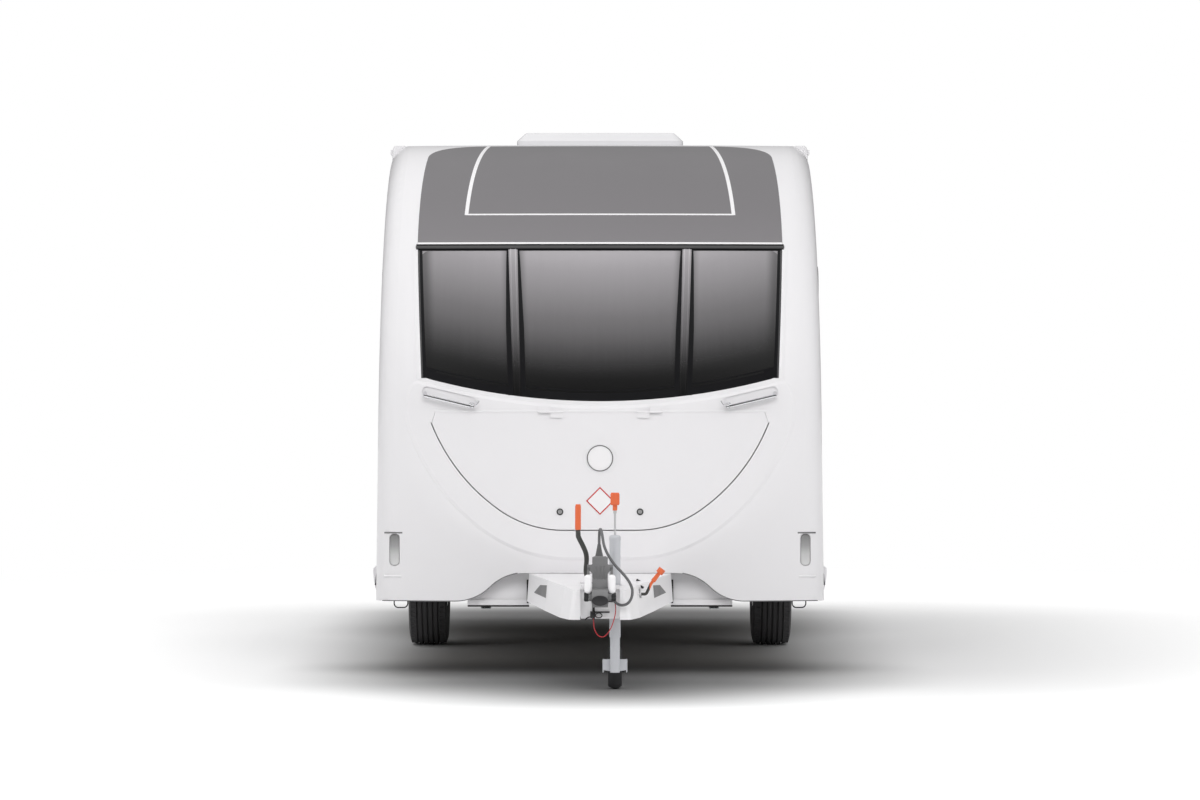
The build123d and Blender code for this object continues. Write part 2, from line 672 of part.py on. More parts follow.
HATCH_BOX_DEPTH = 310
with BuildPart() as hatch_boxes:
    for side, hinge_y, free_y, foot, top in (BATTERY_HATCH, CASSETTE_HATCH):
        with BuildSketch(Plane.YZ.offset(side * (HALF_WIDTH - WALL - HATCH_BOX_DEPTH))):
            with Locations(((hinge_y + free_y) / 2, (foot + top) / 2)):
                Rectangle(free_y - hinge_y + 30, top - foot + 30)
        extrude(amount=side * (HATCH_BOX_DEPTH + WALL))
    add(cavity, mode=Mode.INTERSECT)
    for side, hinge_y, free_y, foot, top in (BATTERY_HATCH, CASSETTE_HATCH):
        with BuildSketch(Plane.YZ.offset(side * (HALF_WIDTH - WALL - HATCH_BOX_DEPTH + 6))):
            with Locations(((hinge_y + free_y) / 2, (foot + top) / 2)):
                Rectangle(free_y - hinge_y + 18, top - foot + 18)
        extrude(amount=side * (HATCH_BOX_DEPTH + WALL), mode=Mode.SUBTRACT)
write(hatch_boxes, "hatch_boxes")

# ---- skirts along the foot of the walls ----
SKIRT_TOP_Z = 536
SKIRT_BULGE = (1112, 500)
SKIRT_FOOT = (1083, 374)
SKIRT_SPANS = ((-1630, AXLE[0] - ARCH_RADIUS - 10), (AXLE[0] + ARCH_RADIUS + 10, 3020))


with BuildPart() as side_skirts:
    with BuildSketch(Plane.XZ.offset(-SKIRT_SPANS[1][1])):
        with BuildLine():
            shoulder = (HALF_WIDTH - 1.4, SKIRT_TOP_Z)
            crest = Line(shoulder, (SKIRT_BULGE[0], SKIRT_BULGE[1] + 22))
            under = TangentArc(crest @ 1, SKIRT_FOOT, tangent=(0.05, -1))
            Polyline(under @ 1, (SKIRT_FOOT[0] - 18, SKIRT_FOOT[1]), (HALF_WIDTH - WALL - 1, WALL_FOOT_Z),
                     (HALF_WIDTH + 10, WALL_FOOT_Z), shoulder)
        make_face()
    extrude(amount=SKIRT_SPANS[1][1] - SKIRT_SPANS[0][0])
    add(side_wall_right.part, mode=Mode.SUBTRACT)
    with BuildSketch(Plane.YZ.offset(HALF_WIDTH - 100)):
        with Locations(AXLE):
            Circle(ARCH_RADIUS + 10)
    extrude(amount=200, mode=Mode.SUBTRACT)
    mirror(about=Plane.YZ)
write(side_skirts, "side_skirts")

# ---- chassis ----
RAIL_Y = (-1010, 2960)
RAIL_FLANGE = 48
RAIL_SKIN = 4
RAIL_HOLES = (-700, -450, -200, 50, 300, 1000, 1300, 1600, 1900, 2200, 2500)
RAIL_HOLE_RADIUS = 38
CROSS_Y = (-980, -100, 1450, 2920)
CROSS_WIDTH = 44
TUBE_FLAT = 40              # half the width across the flats of the six-sided axle tube

with BuildPart() as axle_tube:
    with BuildSketch(Plane.YZ.offset(-795)):
        with Locations(TUBE):
            RegularPolygon(TUBE_FLAT, 6, major_radius=False, rotation=30)
    extrude(amount=1590)
write(axle_tube, "axle_tube")

with BuildPart() as chassis:
    with BuildSketch(Plane.XZ.offset(-RAIL_Y[1])):
        with Locations((RAIL_X - RAIL_FLANGE / 2, (RAIL_Z[0] + RAIL_Z[1]) / 2)):
            Rectangle(RAIL_FLANGE, RAIL_Z[1] - RAIL_Z[0])
        with Locations((RAIL_X - RAIL_FLANGE / 2 - RAIL_SKIN, (RAIL_Z[0] + RAIL_Z[1]) / 2)):
            Rectangle(RAIL_FLANGE, RAIL_Z[1] - RAIL_Z[0] - 2 * RAIL_SKIN, mode=Mode.SUBTRACT)
    extrude(amount=RAIL_Y[1] - RAIL_Y[0])
    with BuildSketch(Plane.YZ.offset(RAIL_X - RAIL_SKIN)):
        for y in RAIL_HOLES:
            with Locations((y, (RAIL_Z[0] + RAIL_Z[1]) / 2)):
                Circle(RAIL_HOLE_RADIUS)
    extrude(amount=RAIL_SKIN, mode=Mode.SUBTRACT)
    mirror(about=Plane.YZ)
    for y in CROSS_Y:
        with BuildSketch(Plane.XZ.offset(-y - CROSS_WIDTH / 2)):
            with Locations((0, 375)):
                Rectangle(2 * (RAIL_X - RAIL_SKIN), 60)
        extrude(amount=CROSS_WIDTH)
        with BuildSketch(Plane.XZ.offset(-y - CROSS_WIDTH / 2 + RAIL_SKIN)):
            with Locations((0, 375)):
                Rectangle(2 * (RAIL_X - RAIL_SKIN), 52)
        extrude(amount=CROSS_WIDTH, mode=Mode.SUBTRACT)
    add(axle_tube.part, mode=Mode.SUBTRACT)
write(chassis, "chassis")

# the two arms of the drawbar meet under the overrun housing
ARM_NOSE = (34, -2610)      # (x, y) of an arm's middle line
ARM_TAIL = (562, -1002)
ARM_WIDTH = 46
ARM_Z = (356, 416)
with BuildPart() as drawbar:
    with BuildSketch(Plane.XY.offset(ARM_Z[0])):
        with BuildLine():
            half = ARM_WIDTH / 2
            Polyline((ARM_NOSE[0] - half, ARM_NOSE[1]), (ARM_NOSE[0] + half, ARM_NOSE[1]),
                     (ARM_TAIL[0] + half, ARM_TAIL[1]), (ARM_TAIL[0] - half, ARM_TAIL[1]), close=True)
        make_face()
    extrude(amount=ARM_Z[1] - ARM_Z[0])
    with BuildSketch(Plane.XY.offset(ARM_Z[0] + RAIL_SKIN)):
        with BuildLine():
            half = ARM_WIDTH / 2 - RAIL_SKIN
            Polyline((ARM_NOSE[0] - half, ARM_NOSE[1]), (ARM_NOSE[0] + half, ARM_NOSE[1]),
                     (ARM_TAIL[0] + half, ARM_TAIL[1]), (ARM_TAIL[0] - half, ARM_TAIL[1]), close=True)
        make_face()
    extrude(amount=ARM_Z[1] - ARM_Z[0] - 2 * RAIL_SKIN, mode=Mode.SUBTRACT)
    mirror(about=Plane.YZ)
    add(chassis.part, mode=Mode.SUBTRACT)
    add(gas_locker_box.part, mode=Mode.SUBTRACT)
write(drawbar, "drawbar")

# ---- suspension arms and wheels ----
ARM_X = (795, 828)
BACKPLATE = (834, 118)      # outer face, radius
with BuildPart() as swing_arms:
    with BuildSketch(Plane.YZ.offset(ARM_X[0])):
        with Locations(TUBE):
            Circle(46)
        with Locations(AXLE):
            Circle(34)
        make_hull()
    extrude(amount=ARM_X[1] - ARM_X[0])
    with BuildSketch(Plane.YZ.offset(ARM_X[1])):
        with Locations(AXLE):
            Circle(BACKPLATE[1])
    extrude(amount=BACKPLATE[0] - ARM_X[1])
    with BuildSketch(Plane.YZ.offset(BACKPLATE[0])):
        with Locations(AXLE):
            Circle(SPINDLE)
    extrude(amount=925 - BACKPLATE[0])
    mirror(about=Plane.YZ)
write(swing_arms, "swing_arms")

TYRE_MIDDLE_X = (TYRE_X[0] + TYRE_X[1]) / 2
TYRE_HALF = (TYRE_X[1] - TYRE_X[0]) / 2
WHEEL_AXIS = Axis((0, AXLE[0], AXLE[1]), (1, 0, 0))
RIM_BARREL = (846, 1006)
RIM_SKIN = 8
DISC = (948, 972)
SPOKES = 5
SPOKE_WINDOW = ((74, 17), (146, 62))        # radius and half width at the inner and outer end
HUB_CAP = 30
BOLT_CIRCLE = 47
BOLT_POCKET = 9
DRUM = (842, 904, 122)      # inner face, outer face, radius


def wheel_side(side, build_name):
    """A tyre, or a rim with its brake drum, on one side."""
    with BuildPart() as piece:
        with BuildSketch(Plane.XZ.offset(-AXLE[0])):
            with BuildLine():
                x = TYRE_MIDDLE_X
                low = AXLE[1]
                if build_name == "tyre":
                    bead = (x + 80, low + RIM_RADIUS)
                    bulge = (x + TYRE_HALF, low + 246)
                    shoulder = (x + 84, low + TYRE_RADIUS - 8)
                    Line((x, low + RIM_RADIUS), bead)
                    ThreePointArc(bead, bulge, shoulder)
                    ThreePointArc(shoulder, (x + 45, low + TYRE_RADIUS - 2), (x, low + TYRE_RADIUS))
                    Line((x, low + TYRE_RADIUS), (x, low + RIM_RADIUS))
                else:
                    Polyline(
                        (DRUM[0], low),
                        (DRUM[0], low + DRUM[2]),
                        (DRUM[1], low + DRUM[2]),
                        (DRUM[1] + 8, low + 70),
                        (DISC[0], low + 66),
                        (DISC[0] - 14, low + RIM_RADIUS - RIM_SKIN - 6),
                        (RIM_BARREL[0], low + RIM_RADIUS - RIM_SKIN),
                        (RIM_BARREL[0], low + RIM_RADIUS),
                        (RIM_BARREL[1], low + RIM_RADIUS),
                        (RIM_BARREL[1], low + RIM_RADIUS - RIM_SKIN),
                        (DISC[1], low + RIM_RADIUS - RIM_SKIN - 20),
                        (DISC[1] + 4, low + 60),
                        (DISC[1], low),
                        close=True,
                    )
            make_face()
            if build_name == "tyre":
                mirror(about=Plane.YZ.offset(x))
        revolve(axis=WHEEL_AXIS)
        if build_name == "rim":
            with BuildSketch(Plane.YZ.offset(DRUM[0])):
                with Locations(AXLE):
                    Circle(HUB_BORE)
            extrude(amount=932 - DRUM[0], mode=Mode.SUBTRACT)
            with BuildSketch(Plane.YZ.offset(DISC[0] - 30)):
                with Locations(AXLE):
                    with PolarLocations(0, SPOKES):
                        (near, slim), (far, wide) = SPOKE_WINDOW
                        Polygon((near, -slim), (far, -wide), (far + 8, 0), (far, wide), (near, slim), align=None)
            extrude(amount=90, mode=Mode.SUBTRACT)
            with BuildSketch(Plane.YZ.offset(DISC[1] - 6)):
                with Locations(AXLE):
                    with PolarLocations(BOLT_CIRCLE, SPOKES, start_angle=36):
                        Circle(BOLT_POCKET)
            extrude(amount=40, mode=Mode.SUBTRACT)
            with BuildSketch(Plane.YZ.offset(DISC[1] - 2)):
                with Locations(AXLE):
                    Circle(HUB_CAP)
            extrude(amount=12)
            cap_rings = piece.edges().filter_by(GeomType.CIRCLE).filter_by(lambda ring: abs(ring.radius - HUB_CAP) < 1)
            fillet(cap_rings.sort_by(Axis.X)[-1], 5)
        if side < 0:
            mirror(about=Plane.YZ, mode=Mode.REPLACE)
    return piece


for side, word in ((-1, "left"), (1, "right")):
    write(wheel_side(side, "tyre"), f"tyre_{word}")
    write(wheel_side(side, "rim"), f"rim_{word}")

# ---- corner steadies ----
STEADY_X = 905
STEADY_HINGES = (            # y of the hinge, direction of the folded leg along Y
    ("front", -1080, -1),
    ("rear", 2440, 1),
)
STEADY_PIN_Z = 388
STEADY_LEG = 500
STEADY_WIDTH = 44
STEADY_SKIN = 4

for side, word in ((-1, "left"), (1, "right")):
    for end, hinge_y, way in STEADY_HINGES:
        with BuildPart() as steady:
            with BuildSketch(Plane.YZ.offset(side * STEADY_X - STEADY_WIDTH / 2)):
                with BuildLine():
                    Polyline((hinge_y - way * 14, STEADY_PIN_Z + 12), (hinge_y + way * 40, STEADY_PIN_Z + 14),
                             (hinge_y + way * STEADY_LEG, STEADY_PIN_Z + 2),
                             (hinge_y + way * STEADY_LEG, STEADY_PIN_Z - 18),
                             (hinge_y - way * 14, STEADY_PIN_Z - 14), close=True)
                make_face()
            extrude(amount=STEADY_WIDTH)
            with BuildSketch(Plane.YZ.offset(side * STEADY_X - STEADY_WIDTH / 2 + STEADY_SKIN)):
                with BuildLine():
                    Polyline((hinge_y - way * 15, STEADY_PIN_Z + 30), (hinge_y + way * (STEADY_LEG - 6), STEADY_PIN_Z + 30),
                             (hinge_y + way * (STEADY_LEG - 6), STEADY_PIN_Z - 14),
                             (hinge_y - way * 15, STEADY_PIN_Z - 10), close=True)
                make_face()
            extrude(amount=STEADY_WIDTH - 2 * STEADY_SKIN, mode=Mode.SUBTRACT)
            with BuildSketch(Plane.YZ.offset(side * STEADY_X - STEADY_WIDTH / 2)):
                with Locations((hinge_y, STEADY_PIN_Z)):
                    Circle(6.3)
            extrude(amount=STEADY_WIDTH, mode=Mode.SUBTRACT)
            foot_y = hinge_y + way * (STEADY_LEG - 2)
            with BuildSketch(Plane.YZ.offset(side * STEADY_X - 40)):
                with Locations((foot_y + way * 4, STEADY_PIN_Z - 2)):
                    Rectangle(6, 36)
            extrude(amount=80)
        write(steady, f"steady_{end}_{word}")

# wire guides under the foot of the front, which lead a brace to the steadies
GUIDE_X = (936, 1002)
GUIDE_Y = -1808
GUIDE_FOOT_Z = 340
GUIDE_WIRE = 3
with BuildPart() as steady_brackets:
    with BuildLine() as guide_line:
        FilletPolyline((GUIDE_X[0], GUIDE_Y, FOOT_Z + 10), (GUIDE_X[0], GUIDE_Y, GUIDE_FOOT_Z),
                       (GUIDE_X[1], GUIDE_Y, GUIDE_FOOT_Z), (GUIDE_X[1], GUIDE_Y, FOOT_Z + 10), radius=20)
    with BuildSketch(Plane(origin=guide_line.wires()[0] @ 0, z_dir=guide_line.wires()[0] % 0)):
        Circle(GUIDE_WIRE)
    sweep()
    add(front_panel.part, mode=Mode.SUBTRACT)
    for end, hinge_y, way in STEADY_HINGES:
        with BuildSketch(Plane.YZ.offset(STEADY_X - STEADY_WIDTH / 2 - 8)):
            with BuildLine():
                Polyline((hinge_y - way * 30, 420), (hinge_y + way * 30, 420), (hinge_y + way * 18, STEADY_PIN_Z - 16),
                         (hinge_y - way * 18, STEADY_PIN_Z - 16), close=True)
            make_face()
        extrude(amount=4)
        with BuildSketch(Plane.YZ.offset(STEADY_X + STEADY_WIDTH / 2 + 4)):
            with BuildLine():
                Polyline((hinge_y - way * 30, 420), (hinge_y + way * 30, 420), (hinge_y + way * 18, STEADY_PIN_Z - 16),
                         (hinge_y - way * 18, STEADY_PIN_Z - 16), close=True)
            make_face()
        extrude(amount=4)
        with BuildSketch(Plane.YZ.offset(STEADY_X - STEADY_WIDTH / 2 - 8)):
            with Locations((hinge_y, STEADY_PIN_Z)):
                Circle(6)
        extrude(amount=STEADY_WIDTH + 16)
    mirror(about=Plane.YZ)
write(steady_brackets, "steady_brackets")

# ---- overrun housing, shaft, bellows and coupling head ----
HOUSING_Y = (-2830, -2540)
HOUSING_X = 38
HOUSING_Z = (416, 478)
SHAFT_Z = 446
SHAFT_RADIUS = 24
with BuildPart() as overrun:
    with BuildSketch(Plane.XY.offset(HOUSING_Z[0])):
        with Locations((0, (HOUSING_Y[0] + HOUSING_Y[1]) / 2)):
            Rectangle(2 * HOUSING_X, HOUSING_Y[1] - HOUSING_Y[0])
    extrude(amount=HOUSING_Z[1] - HOUSING_Z[0])
    fillet(overrun.edges().filter_by(Axis.Y).group_by(Axis.Z)[-1], 14)
    with BuildSketch(Plane.XZ.offset(-HOUSING_Y[0])):
        with Locations((0, SHAFT_Z)):
            Circle(SHAFT_RADIUS)
    extrude(amount=170)
write(overrun, "overrun")

# the stabilising head: a nose over the ball, a pad housing and an adjuster knob on each side, a lever on top
HEAD_BACK_Y = -2960
HEAD_WIDTH = 74
HEAD_FOOT_Z = 414
PAD_Z = 462                 # height of the pads and knobs
PAD_RADIUS = 21
PAD_X = 52
KNOB_X = (54, 70)
KNOB_RADIUS = 19
KNOB_GRIPS = 6
with BuildPart() as coupling_head:
    with BuildSketch(Plane.YZ.offset(-HEAD_WIDTH / 2)):
        with BuildLine():
            Polyline((HEAD_BACK_Y, 420), (HEAD_BACK_Y, 482), (-3030, 500), (-3150, 496))
            nose = ThreePointArc((-3150, 496), (-HALF_LENGTH, 452), (-3172, HEAD_FOOT_Z))
            Polyline(nose @ 1, (-3090, HEAD_FOOT_Z), (-3040, 420), (HEAD_BACK_Y, 420))
        make_face()
    extrude(amount=HEAD_WIDTH)
    chamfer(coupling_head.edges().filter_by(Axis.Y).group_by(Axis.Z)[-1], 6)
    with BuildSketch(Plane.XY.offset(HEAD_FOOT_Z)):
        with Locations(BALL[:2]):
            Circle(BALL_RADIUS + 0.5)
    extrude(amount=BALL[2] - HEAD_FOOT_Z, mode=Mode.SUBTRACT)
    with BuildSketch(Plane.XZ.offset(-BALL[1])):
        with BuildLine():
            Line((0, BALL[2]), (BALL_RADIUS + 0.5, BALL[2]))
            CenterArc((0, BALL[2]), BALL_RADIUS + 0.5, 0, 90)
            Line((0, BALL[2] + BALL_RADIUS + 0.5), (0, BALL[2]))
        make_face()
    revolve(axis=Axis((0, BALL[1], 0), (0, 0, 1)), mode=Mode.SUBTRACT)
    for way in (-1, 1):
        with BuildSketch(Plane.YZ.offset(way * (HEAD_WIDTH / 2 - 1))):
            with Locations((BALL[1], PAD_Z)):
                Circle(PAD_RADIUS)
        extrude(amount=way * (PAD_X - HEAD_WIDTH / 2 + 1))
        with BuildSketch(Plane.YZ.offset(way * (PAD_X - 1))):
            with Locations((BALL[1], PAD_Z)):
                Circle(8)
        extrude(amount=way * (KNOB_X[0] - PAD_X + 2))
        with BuildSketch(Plane.YZ.offset(way * KNOB_X[0])):
            with Locations((BALL[1], PAD_Z)):
                Circle(KNOB_RADIUS)
                with PolarLocations(KNOB_RADIUS + 4, KNOB_GRIPS):
                    Circle(8, mode=Mode.SUBTRACT)
        extrude(amount=way * (KNOB_X[1] - KNOB_X[0]))
    with BuildSketch(Plane.XZ.offset(-HEAD_BACK_Y)):
        with Locations((0, SHAFT_Z)):
            Circle(SHAFT_RADIUS)
    extrude(amount=60, mode=Mode.SUBTRACT)
write(coupling_head, "coupling_head")

LEVER_WIDTH = 72
LEVER_SIDES = ((-3078, 499), (-3035, 500.4), (-3004, 548), (-2938, 600), (-2900, 612), (-2892, 634), (-2944, 630),
               (-3040, 572))
SHOULDER = (-2972, 586, 60)             # y, z and half width of the yoke that works the pads
with BuildPart() as stabiliser_lever:
    with BuildSketch(Plane.YZ.offset(-LEVER_WIDTH / 2)):
        with BuildLine():
            Polyline(*LEVER_SIDES, close=True)
        make_face()
    extrude(amount=LEVER_WIDTH)
    fillet(stabiliser_lever.edges().filter_by(Axis.X).sort_by(Axis.Y)[-1], 6)
    with BuildSketch(Plane.YZ.offset(-SHOULDER[2])):
        with Locations(SHOULDER[:2]):
            Circle(15)
    extrude(amount=2 * SHOULDER[2])
    for way in (-1, 1):
        with BuildSketch(Plane.YZ.offset(way * (LEVER_WIDTH / 2 + 12))):
            with BuildLine():
                Polyline((-2988, 580), (-2956, 580), (-3086, 494), (-3124, 506), close=True)
            make_face()
        extrude(amount=way * 12)
write(stabiliser_lever, "stabiliser_lever")

# ---- jockey wheel ----
CLAMP_Z = (430, 474)
OUTER_TUBE = (250, 706)
OUTER_RADIUS = 26
INNER_RADIUS = 22.8
INNER_TUBE = (86, 560)
FORK_HALF = 58
WEB_Y = (-2698, -2693)

with BuildPart() as jockey_tube:
    with BuildSketch(Plane.XY.offset(OUTER_TUBE[0])):
        with Locations(JOCKEY):
            Circle(OUTER_RADIUS)
            Circle(INNER_RADIUS + 0.4, mode=Mode.SUBTRACT)
    extrude(amount=OUTER_TUBE[1] - OUTER_TUBE[0])
    with BuildSketch(Plane.XY.offset(OUTER_TUBE[1])):
        with Locations(JOCKEY):
            Circle(OUTER_RADIUS)
    extrude(amount=9)
    fillet(jockey_tube.faces().sort_by(Axis.Z)[-1].edges(), 6)
write(jockey_tube, "jockey_tube")

with BuildPart() as jockey_clamp:
    with BuildSketch(Plane.XY.offset(CLAMP_Z[0])):
        with Locations(JOCKEY):
            Circle(OUTER_RADIUS + 8)
        with Locations((HOUSING_X + 4, JOCKEY[1])):
            Rectangle(24, 60)
        with Locations(JOCKEY):
            Circle(OUTER_RADIUS, mode=Mode.SUBTRACT)
    extrude(amount=CLAMP_Z[1] - CLAMP_Z[0])
    add(overrun.part, mode=Mode.SUBTRACT)
    with BuildSketch(Plane.YZ.offset(JOCKEY[0] + OUTER_RADIUS + 6)):
        with Locations((JOCKEY[1], 452)):
            Circle(7)
    extrude(amount=90)
write(jockey_clamp, "jockey_clamp")

CLAMP_ROUTE = (
    (192, JOCKEY[1], 452),
    (216, JOCKEY[1], 452),
    (238, JOCKEY[1], 500),
    (292, JOCKEY[1], 570),
)
CLAMP_GRIP = (11, 9)        # radius at the foot and under the knob
CLAMP_KNOB = (17, 26)       # corner radius and length of the six-sided knob
with BuildPart() as clamp_handle:
    with BuildLine() as clamp_line:
        FilletPolyline(*CLAMP_ROUTE, radius=12)
    with BuildSketch(Plane(origin=clamp_line.wires()[0] @ 0, z_dir=clamp_line.wires()[0] % 0)):
        Circle(7)
    sweep()
    grip_way = (Vector(*CLAMP_ROUTE[3]) - Vector(*CLAMP_ROUTE[2])).normalized()
    grip_foot = Vector(*CLAMP_ROUTE[2]) + grip_way * 16
    with BuildSketch(Plane(origin=grip_foot, z_dir=grip_way)):
        Circle(CLAMP_GRIP[0])
    with BuildSketch(Plane(origin=grip_foot + grip_way * 46, z_dir=grip_way)):
        Circle(CLAMP_GRIP[1])
    loft()
    with BuildSketch(Plane(origin=grip_foot + grip_way * 46, z_dir=grip_way)):
        RegularPolygon(CLAMP_KNOB[0], 6)
    extrude(amount=CLAMP_KNOB[1])
write(clamp_handle, "clamp_handle")

CRANK_ROD = (8, 128)        # from the joint to the knob
CRANK_KNOB = ((11, 30), (20, 34))           # radius and height of the neck and of the six-sided knob
with BuildPart() as jockey_crank:
    level = OUTER_TUBE[1] + 9
    for radius, height in ((9, CRANK_ROD[0]), (5, CRANK_ROD[1] - CRANK_ROD[0] - 14), (8, 14), CRANK_KNOB[0]):
        with BuildSketch(Plane.XY.offset(level)):
            with Locations(JOCKEY):
                Circle(radius)
        extrude(amount=height)
        level += height
    with BuildSketch(Plane.XY.offset(level)):
        with Locations(JOCKEY):
            RegularPolygon(CRANK_KNOB[1][0], 6)
    extrude(amount=CRANK_KNOB[1][1])
    chamfer(jockey_crank.faces().sort_by(Axis.Z)[-1].edges(), 4)
write(jockey_crank, "jockey_crank")

with BuildPart() as jockey_fork:
    with BuildSketch(Plane.XY.offset(INNER_TUBE[0])):
        with Locations(JOCKEY):
            Circle(INNER_RADIUS)
    extrude(amount=INNER_TUBE[1] - INNER_TUBE[0])
    with BuildSketch(Plane.XZ.offset(-WEB_Y[0])):
        with BuildLine():
            Polyline((JOCKEY[0] - FORK_HALF, 96), (JOCKEY[0], 86), (JOCKEY[0] + FORK_HALF, 96),
                     (JOCKEY[0] + FORK_HALF, 146), (JOCKEY[0] - FORK_HALF, 146), close=True)
        make_face()
    extrude(amount=-(WEB_Y[1] - WEB_Y[0]))
    for x in (JOCKEY[0] - FORK_HALF, JOCKEY[0] + FORK_HALF - 5):
        with BuildSketch(Plane.YZ.offset(x)):
            with BuildLine():
                Polyline((WEB_Y[0], 86), (WEB_Y[0], 146), (-2640, 146), (-2565, 118), (-2565, 82), (-2600, 76), close=True)
            make_face()
        extrude(amount=5)
    with BuildSketch(Plane.YZ.offset(JOCKEY[0] - FORK_HALF)):
        with Locations(JOCKEY_AXLE):
            Circle(8)
    extrude(amount=2 * FORK_HALF)
write(jockey_fork, "jockey_fork")

JOCKEY_HALF = 32
with BuildPart() as jockey_wheel:
    with BuildSketch(Plane.XZ.offset(-JOCKEY_AXLE[0])):
        with BuildLine():
            x = JOCKEY[0]
            Polyline((x - JOCKEY_HALF - 10, 100 + 8.3), (x - JOCKEY_HALF - 10, 120), (x - JOCKEY_HALF + 8, 124),
                     (x - JOCKEY_HALF, 160), (x - JOCKEY_HALF, 186))
            ThreePointArc((x - JOCKEY_HALF, 186), (x, 200), (x + JOCKEY_HALF, 186))
            Polyline((x + JOCKEY_HALF, 186), (x + JOCKEY_HALF, 160), (x + JOCKEY_HALF - 8, 124),
                     (x + JOCKEY_HALF + 10, 120), (x + JOCKEY_HALF + 10, 108.3), (x - JOCKEY_HALF - 10, 108.3))
        make_face()
    revolve(axis=Axis((0, JOCKEY_AXLE[0], JOCKEY_AXLE[1]), (1, 0, 0)))
write(jockey_wheel, "jockey_wheel")

# ---- handbrake lever ----
with BuildPart() as handbrake:
    with BuildLine() as brake_line:
        FilletPolyline((-30, -2600, 478), (-64, -2600, 560), (-61, -2600, 630), (-103, -2600, 712),
                       (-103, -2600, 750), radius=18)
    with BuildSketch(Plane(origin=brake_line.wires()[0] @ 0, z_dir=brake_line.wires()[0] % 0)):
        Circle(8)
    sweep()
    with BuildSketch(Plane.XY.offset(748)):
        with Locations((-103, -2600)):
            Circle(13)
    extrude(amount=117)
    fillet(handbrake.faces().sort_by(Axis.Z)[-1].edges(), 8)
    add(overrun.part, mode=Mode.SUBTRACT)
write(handbrake, "handbrake")

# ---- moulded cover over the drawbar ----
COVER_SKIN = 4
# y, half width at the foot, half width at the shoulder, foot z, shoulder z
COVER_SECTIONS = (
    (-1880, 354, 344, 373, 510),
    (-2450, 262, 246, 360, 504),
    (-2790, 186, 166, 346, 492),
    (-2900, 142, 118, 342, 478),
)
COVER_ROUND = 26


def cover_block(skin):
    with BuildPart() as block:
        for y, foot, shoulder, low, high in COVER_SECTIONS:
            with BuildSketch(Plane.XZ.offset(-y - (skin if y == COVER_SECTIONS[-1][0] else 0))):
                with BuildLine():
                    Polyline((-foot + skin, low - skin), (foot - skin, low - skin), (shoulder - skin, high - skin),
                             (-shoulder + skin, high - skin), close=True)
                make_face()
        loft(ruled=True)
        nose = block.edges().filter_by(lambda edge: edge.center().Y < COVER_SECTIONS[-1][0] + 10)
        fillet(nose.filter_by(lambda edge: abs(edge.center().X) > 90), COVER_ROUND - skin)
    return block.part


with BuildPart() as drawbar_cover:
    add(cover_block(0))
    add(cover_block(COVER_SKIN), mode=Mode.SUBTRACT)
    with BuildSketch(Plane.XY.offset(300)):
        with Locations(JOCKEY):
            Circle(OUTER_RADIUS + 10)
        with Locations((-50, -2600)):
            Rectangle(90, 60)
        with Locations((-4, -2811)):
            Rectangle(70, 40)
    extrude(amount=400, mode=Mode.SUBTRACT)
    with BuildSketch(Plane.XZ.offset(2850)):
        with Locations((0, 420)):
            Rectangle(184, 160)
    extrude(amount=100, mode=Mode.SUBTRACT)
    with BuildSketch(Plane.YZ.offset(100)):
        with Locations((JOCKEY[1], 456)):
            Rectangle(44, 44)
    extrude(amount=200, mode=Mode.SUBTRACT)
write(drawbar_cover, "drawbar_cover")

# ---- grab handles, lamps and rails ----
HANDLE_ENDS = ((617, 1330), (850, 1385))    # (x, z) of the feet
HANDLE_RADIUS = 9


def front_y(x, z):
    """The skin of the front at a point seen from ahead."""
    brow, roof = front_turns()
    if z <= NOSE_TOP[1]:
        y = NOSE_Y
    else:
        radius = (BROW[1] - NOSE_TOP[1]) / sin(radians(brow))
        y = NOSE_Y + radius - (radius ** 2 - (z - NOSE_TOP[1]) ** 2) ** 0.5
    return BOW_AXIS_Y - ((BOW_AXIS_Y - y) ** 2 - x ** 2) ** 0.5


with BuildPart() as grab_handles:
    with BuildLine() as handle_line:
        points = []
        for (x, z), out in zip((HANDLE_ENDS[0], HANDLE_ENDS[0], HANDLE_ENDS[1], HANDLE_ENDS[1]), (-8, 42, 42, -8)):
            points.append((x, front_y(x, z) - out, z - 14 * (out > 0)))
        FilletPolyline(*points, radius=12)
    with BuildSketch(Plane(origin=handle_line.wires()[0] @ 0, z_dir=handle_line.wires()[0] % 0)):
        Circle(HANDLE_RADIUS)
    sweep()
    add(front_panel.part, mode=Mode.SUBTRACT)
    mirror(about=Plane.YZ)
write(grab_handles, "grab_handles")

with BuildPart() as marker_lamps:
    add(front_layer(4, MARKER_FLOOR, marker_face(0)))
    add(front_panel.part, mode=Mode.SUBTRACT)
write(marker_lamps, "marker_lamps")

with BuildPart() as rear_bumper:
    with BuildSketch(Plane.YZ.offset(-1060)):
        with BuildLine():
            Polyline((TAIL_Y, 380), (HALF_LENGTH - 8, 380), (HALF_LENGTH, 400), (HALF_LENGTH, 600), (TAIL_Y, 690),
                     close=True)
        make_face()
    extrude(amount=2120)
    for x in (-840, 840):
        with BuildSketch(Plane.XZ.offset(-HALF_LENGTH)):
            with Locations((x, 520)):
                RectangleRounded(330, 110, 20)
        extrude(amount=12, mode=Mode.SUBTRACT)
write(rear_bumper, "rear_bumper")

with BuildPart() as rear_lamps:
    for x in (-840, 840):
        with BuildSketch(Plane.XZ.offset(-HALF_LENGTH + 12)):
            with Locations((x, 520)):
                RectangleRounded(330, 110, 20)
        extrude(amount=-12)
write(rear_lamps, "rear_lamps")

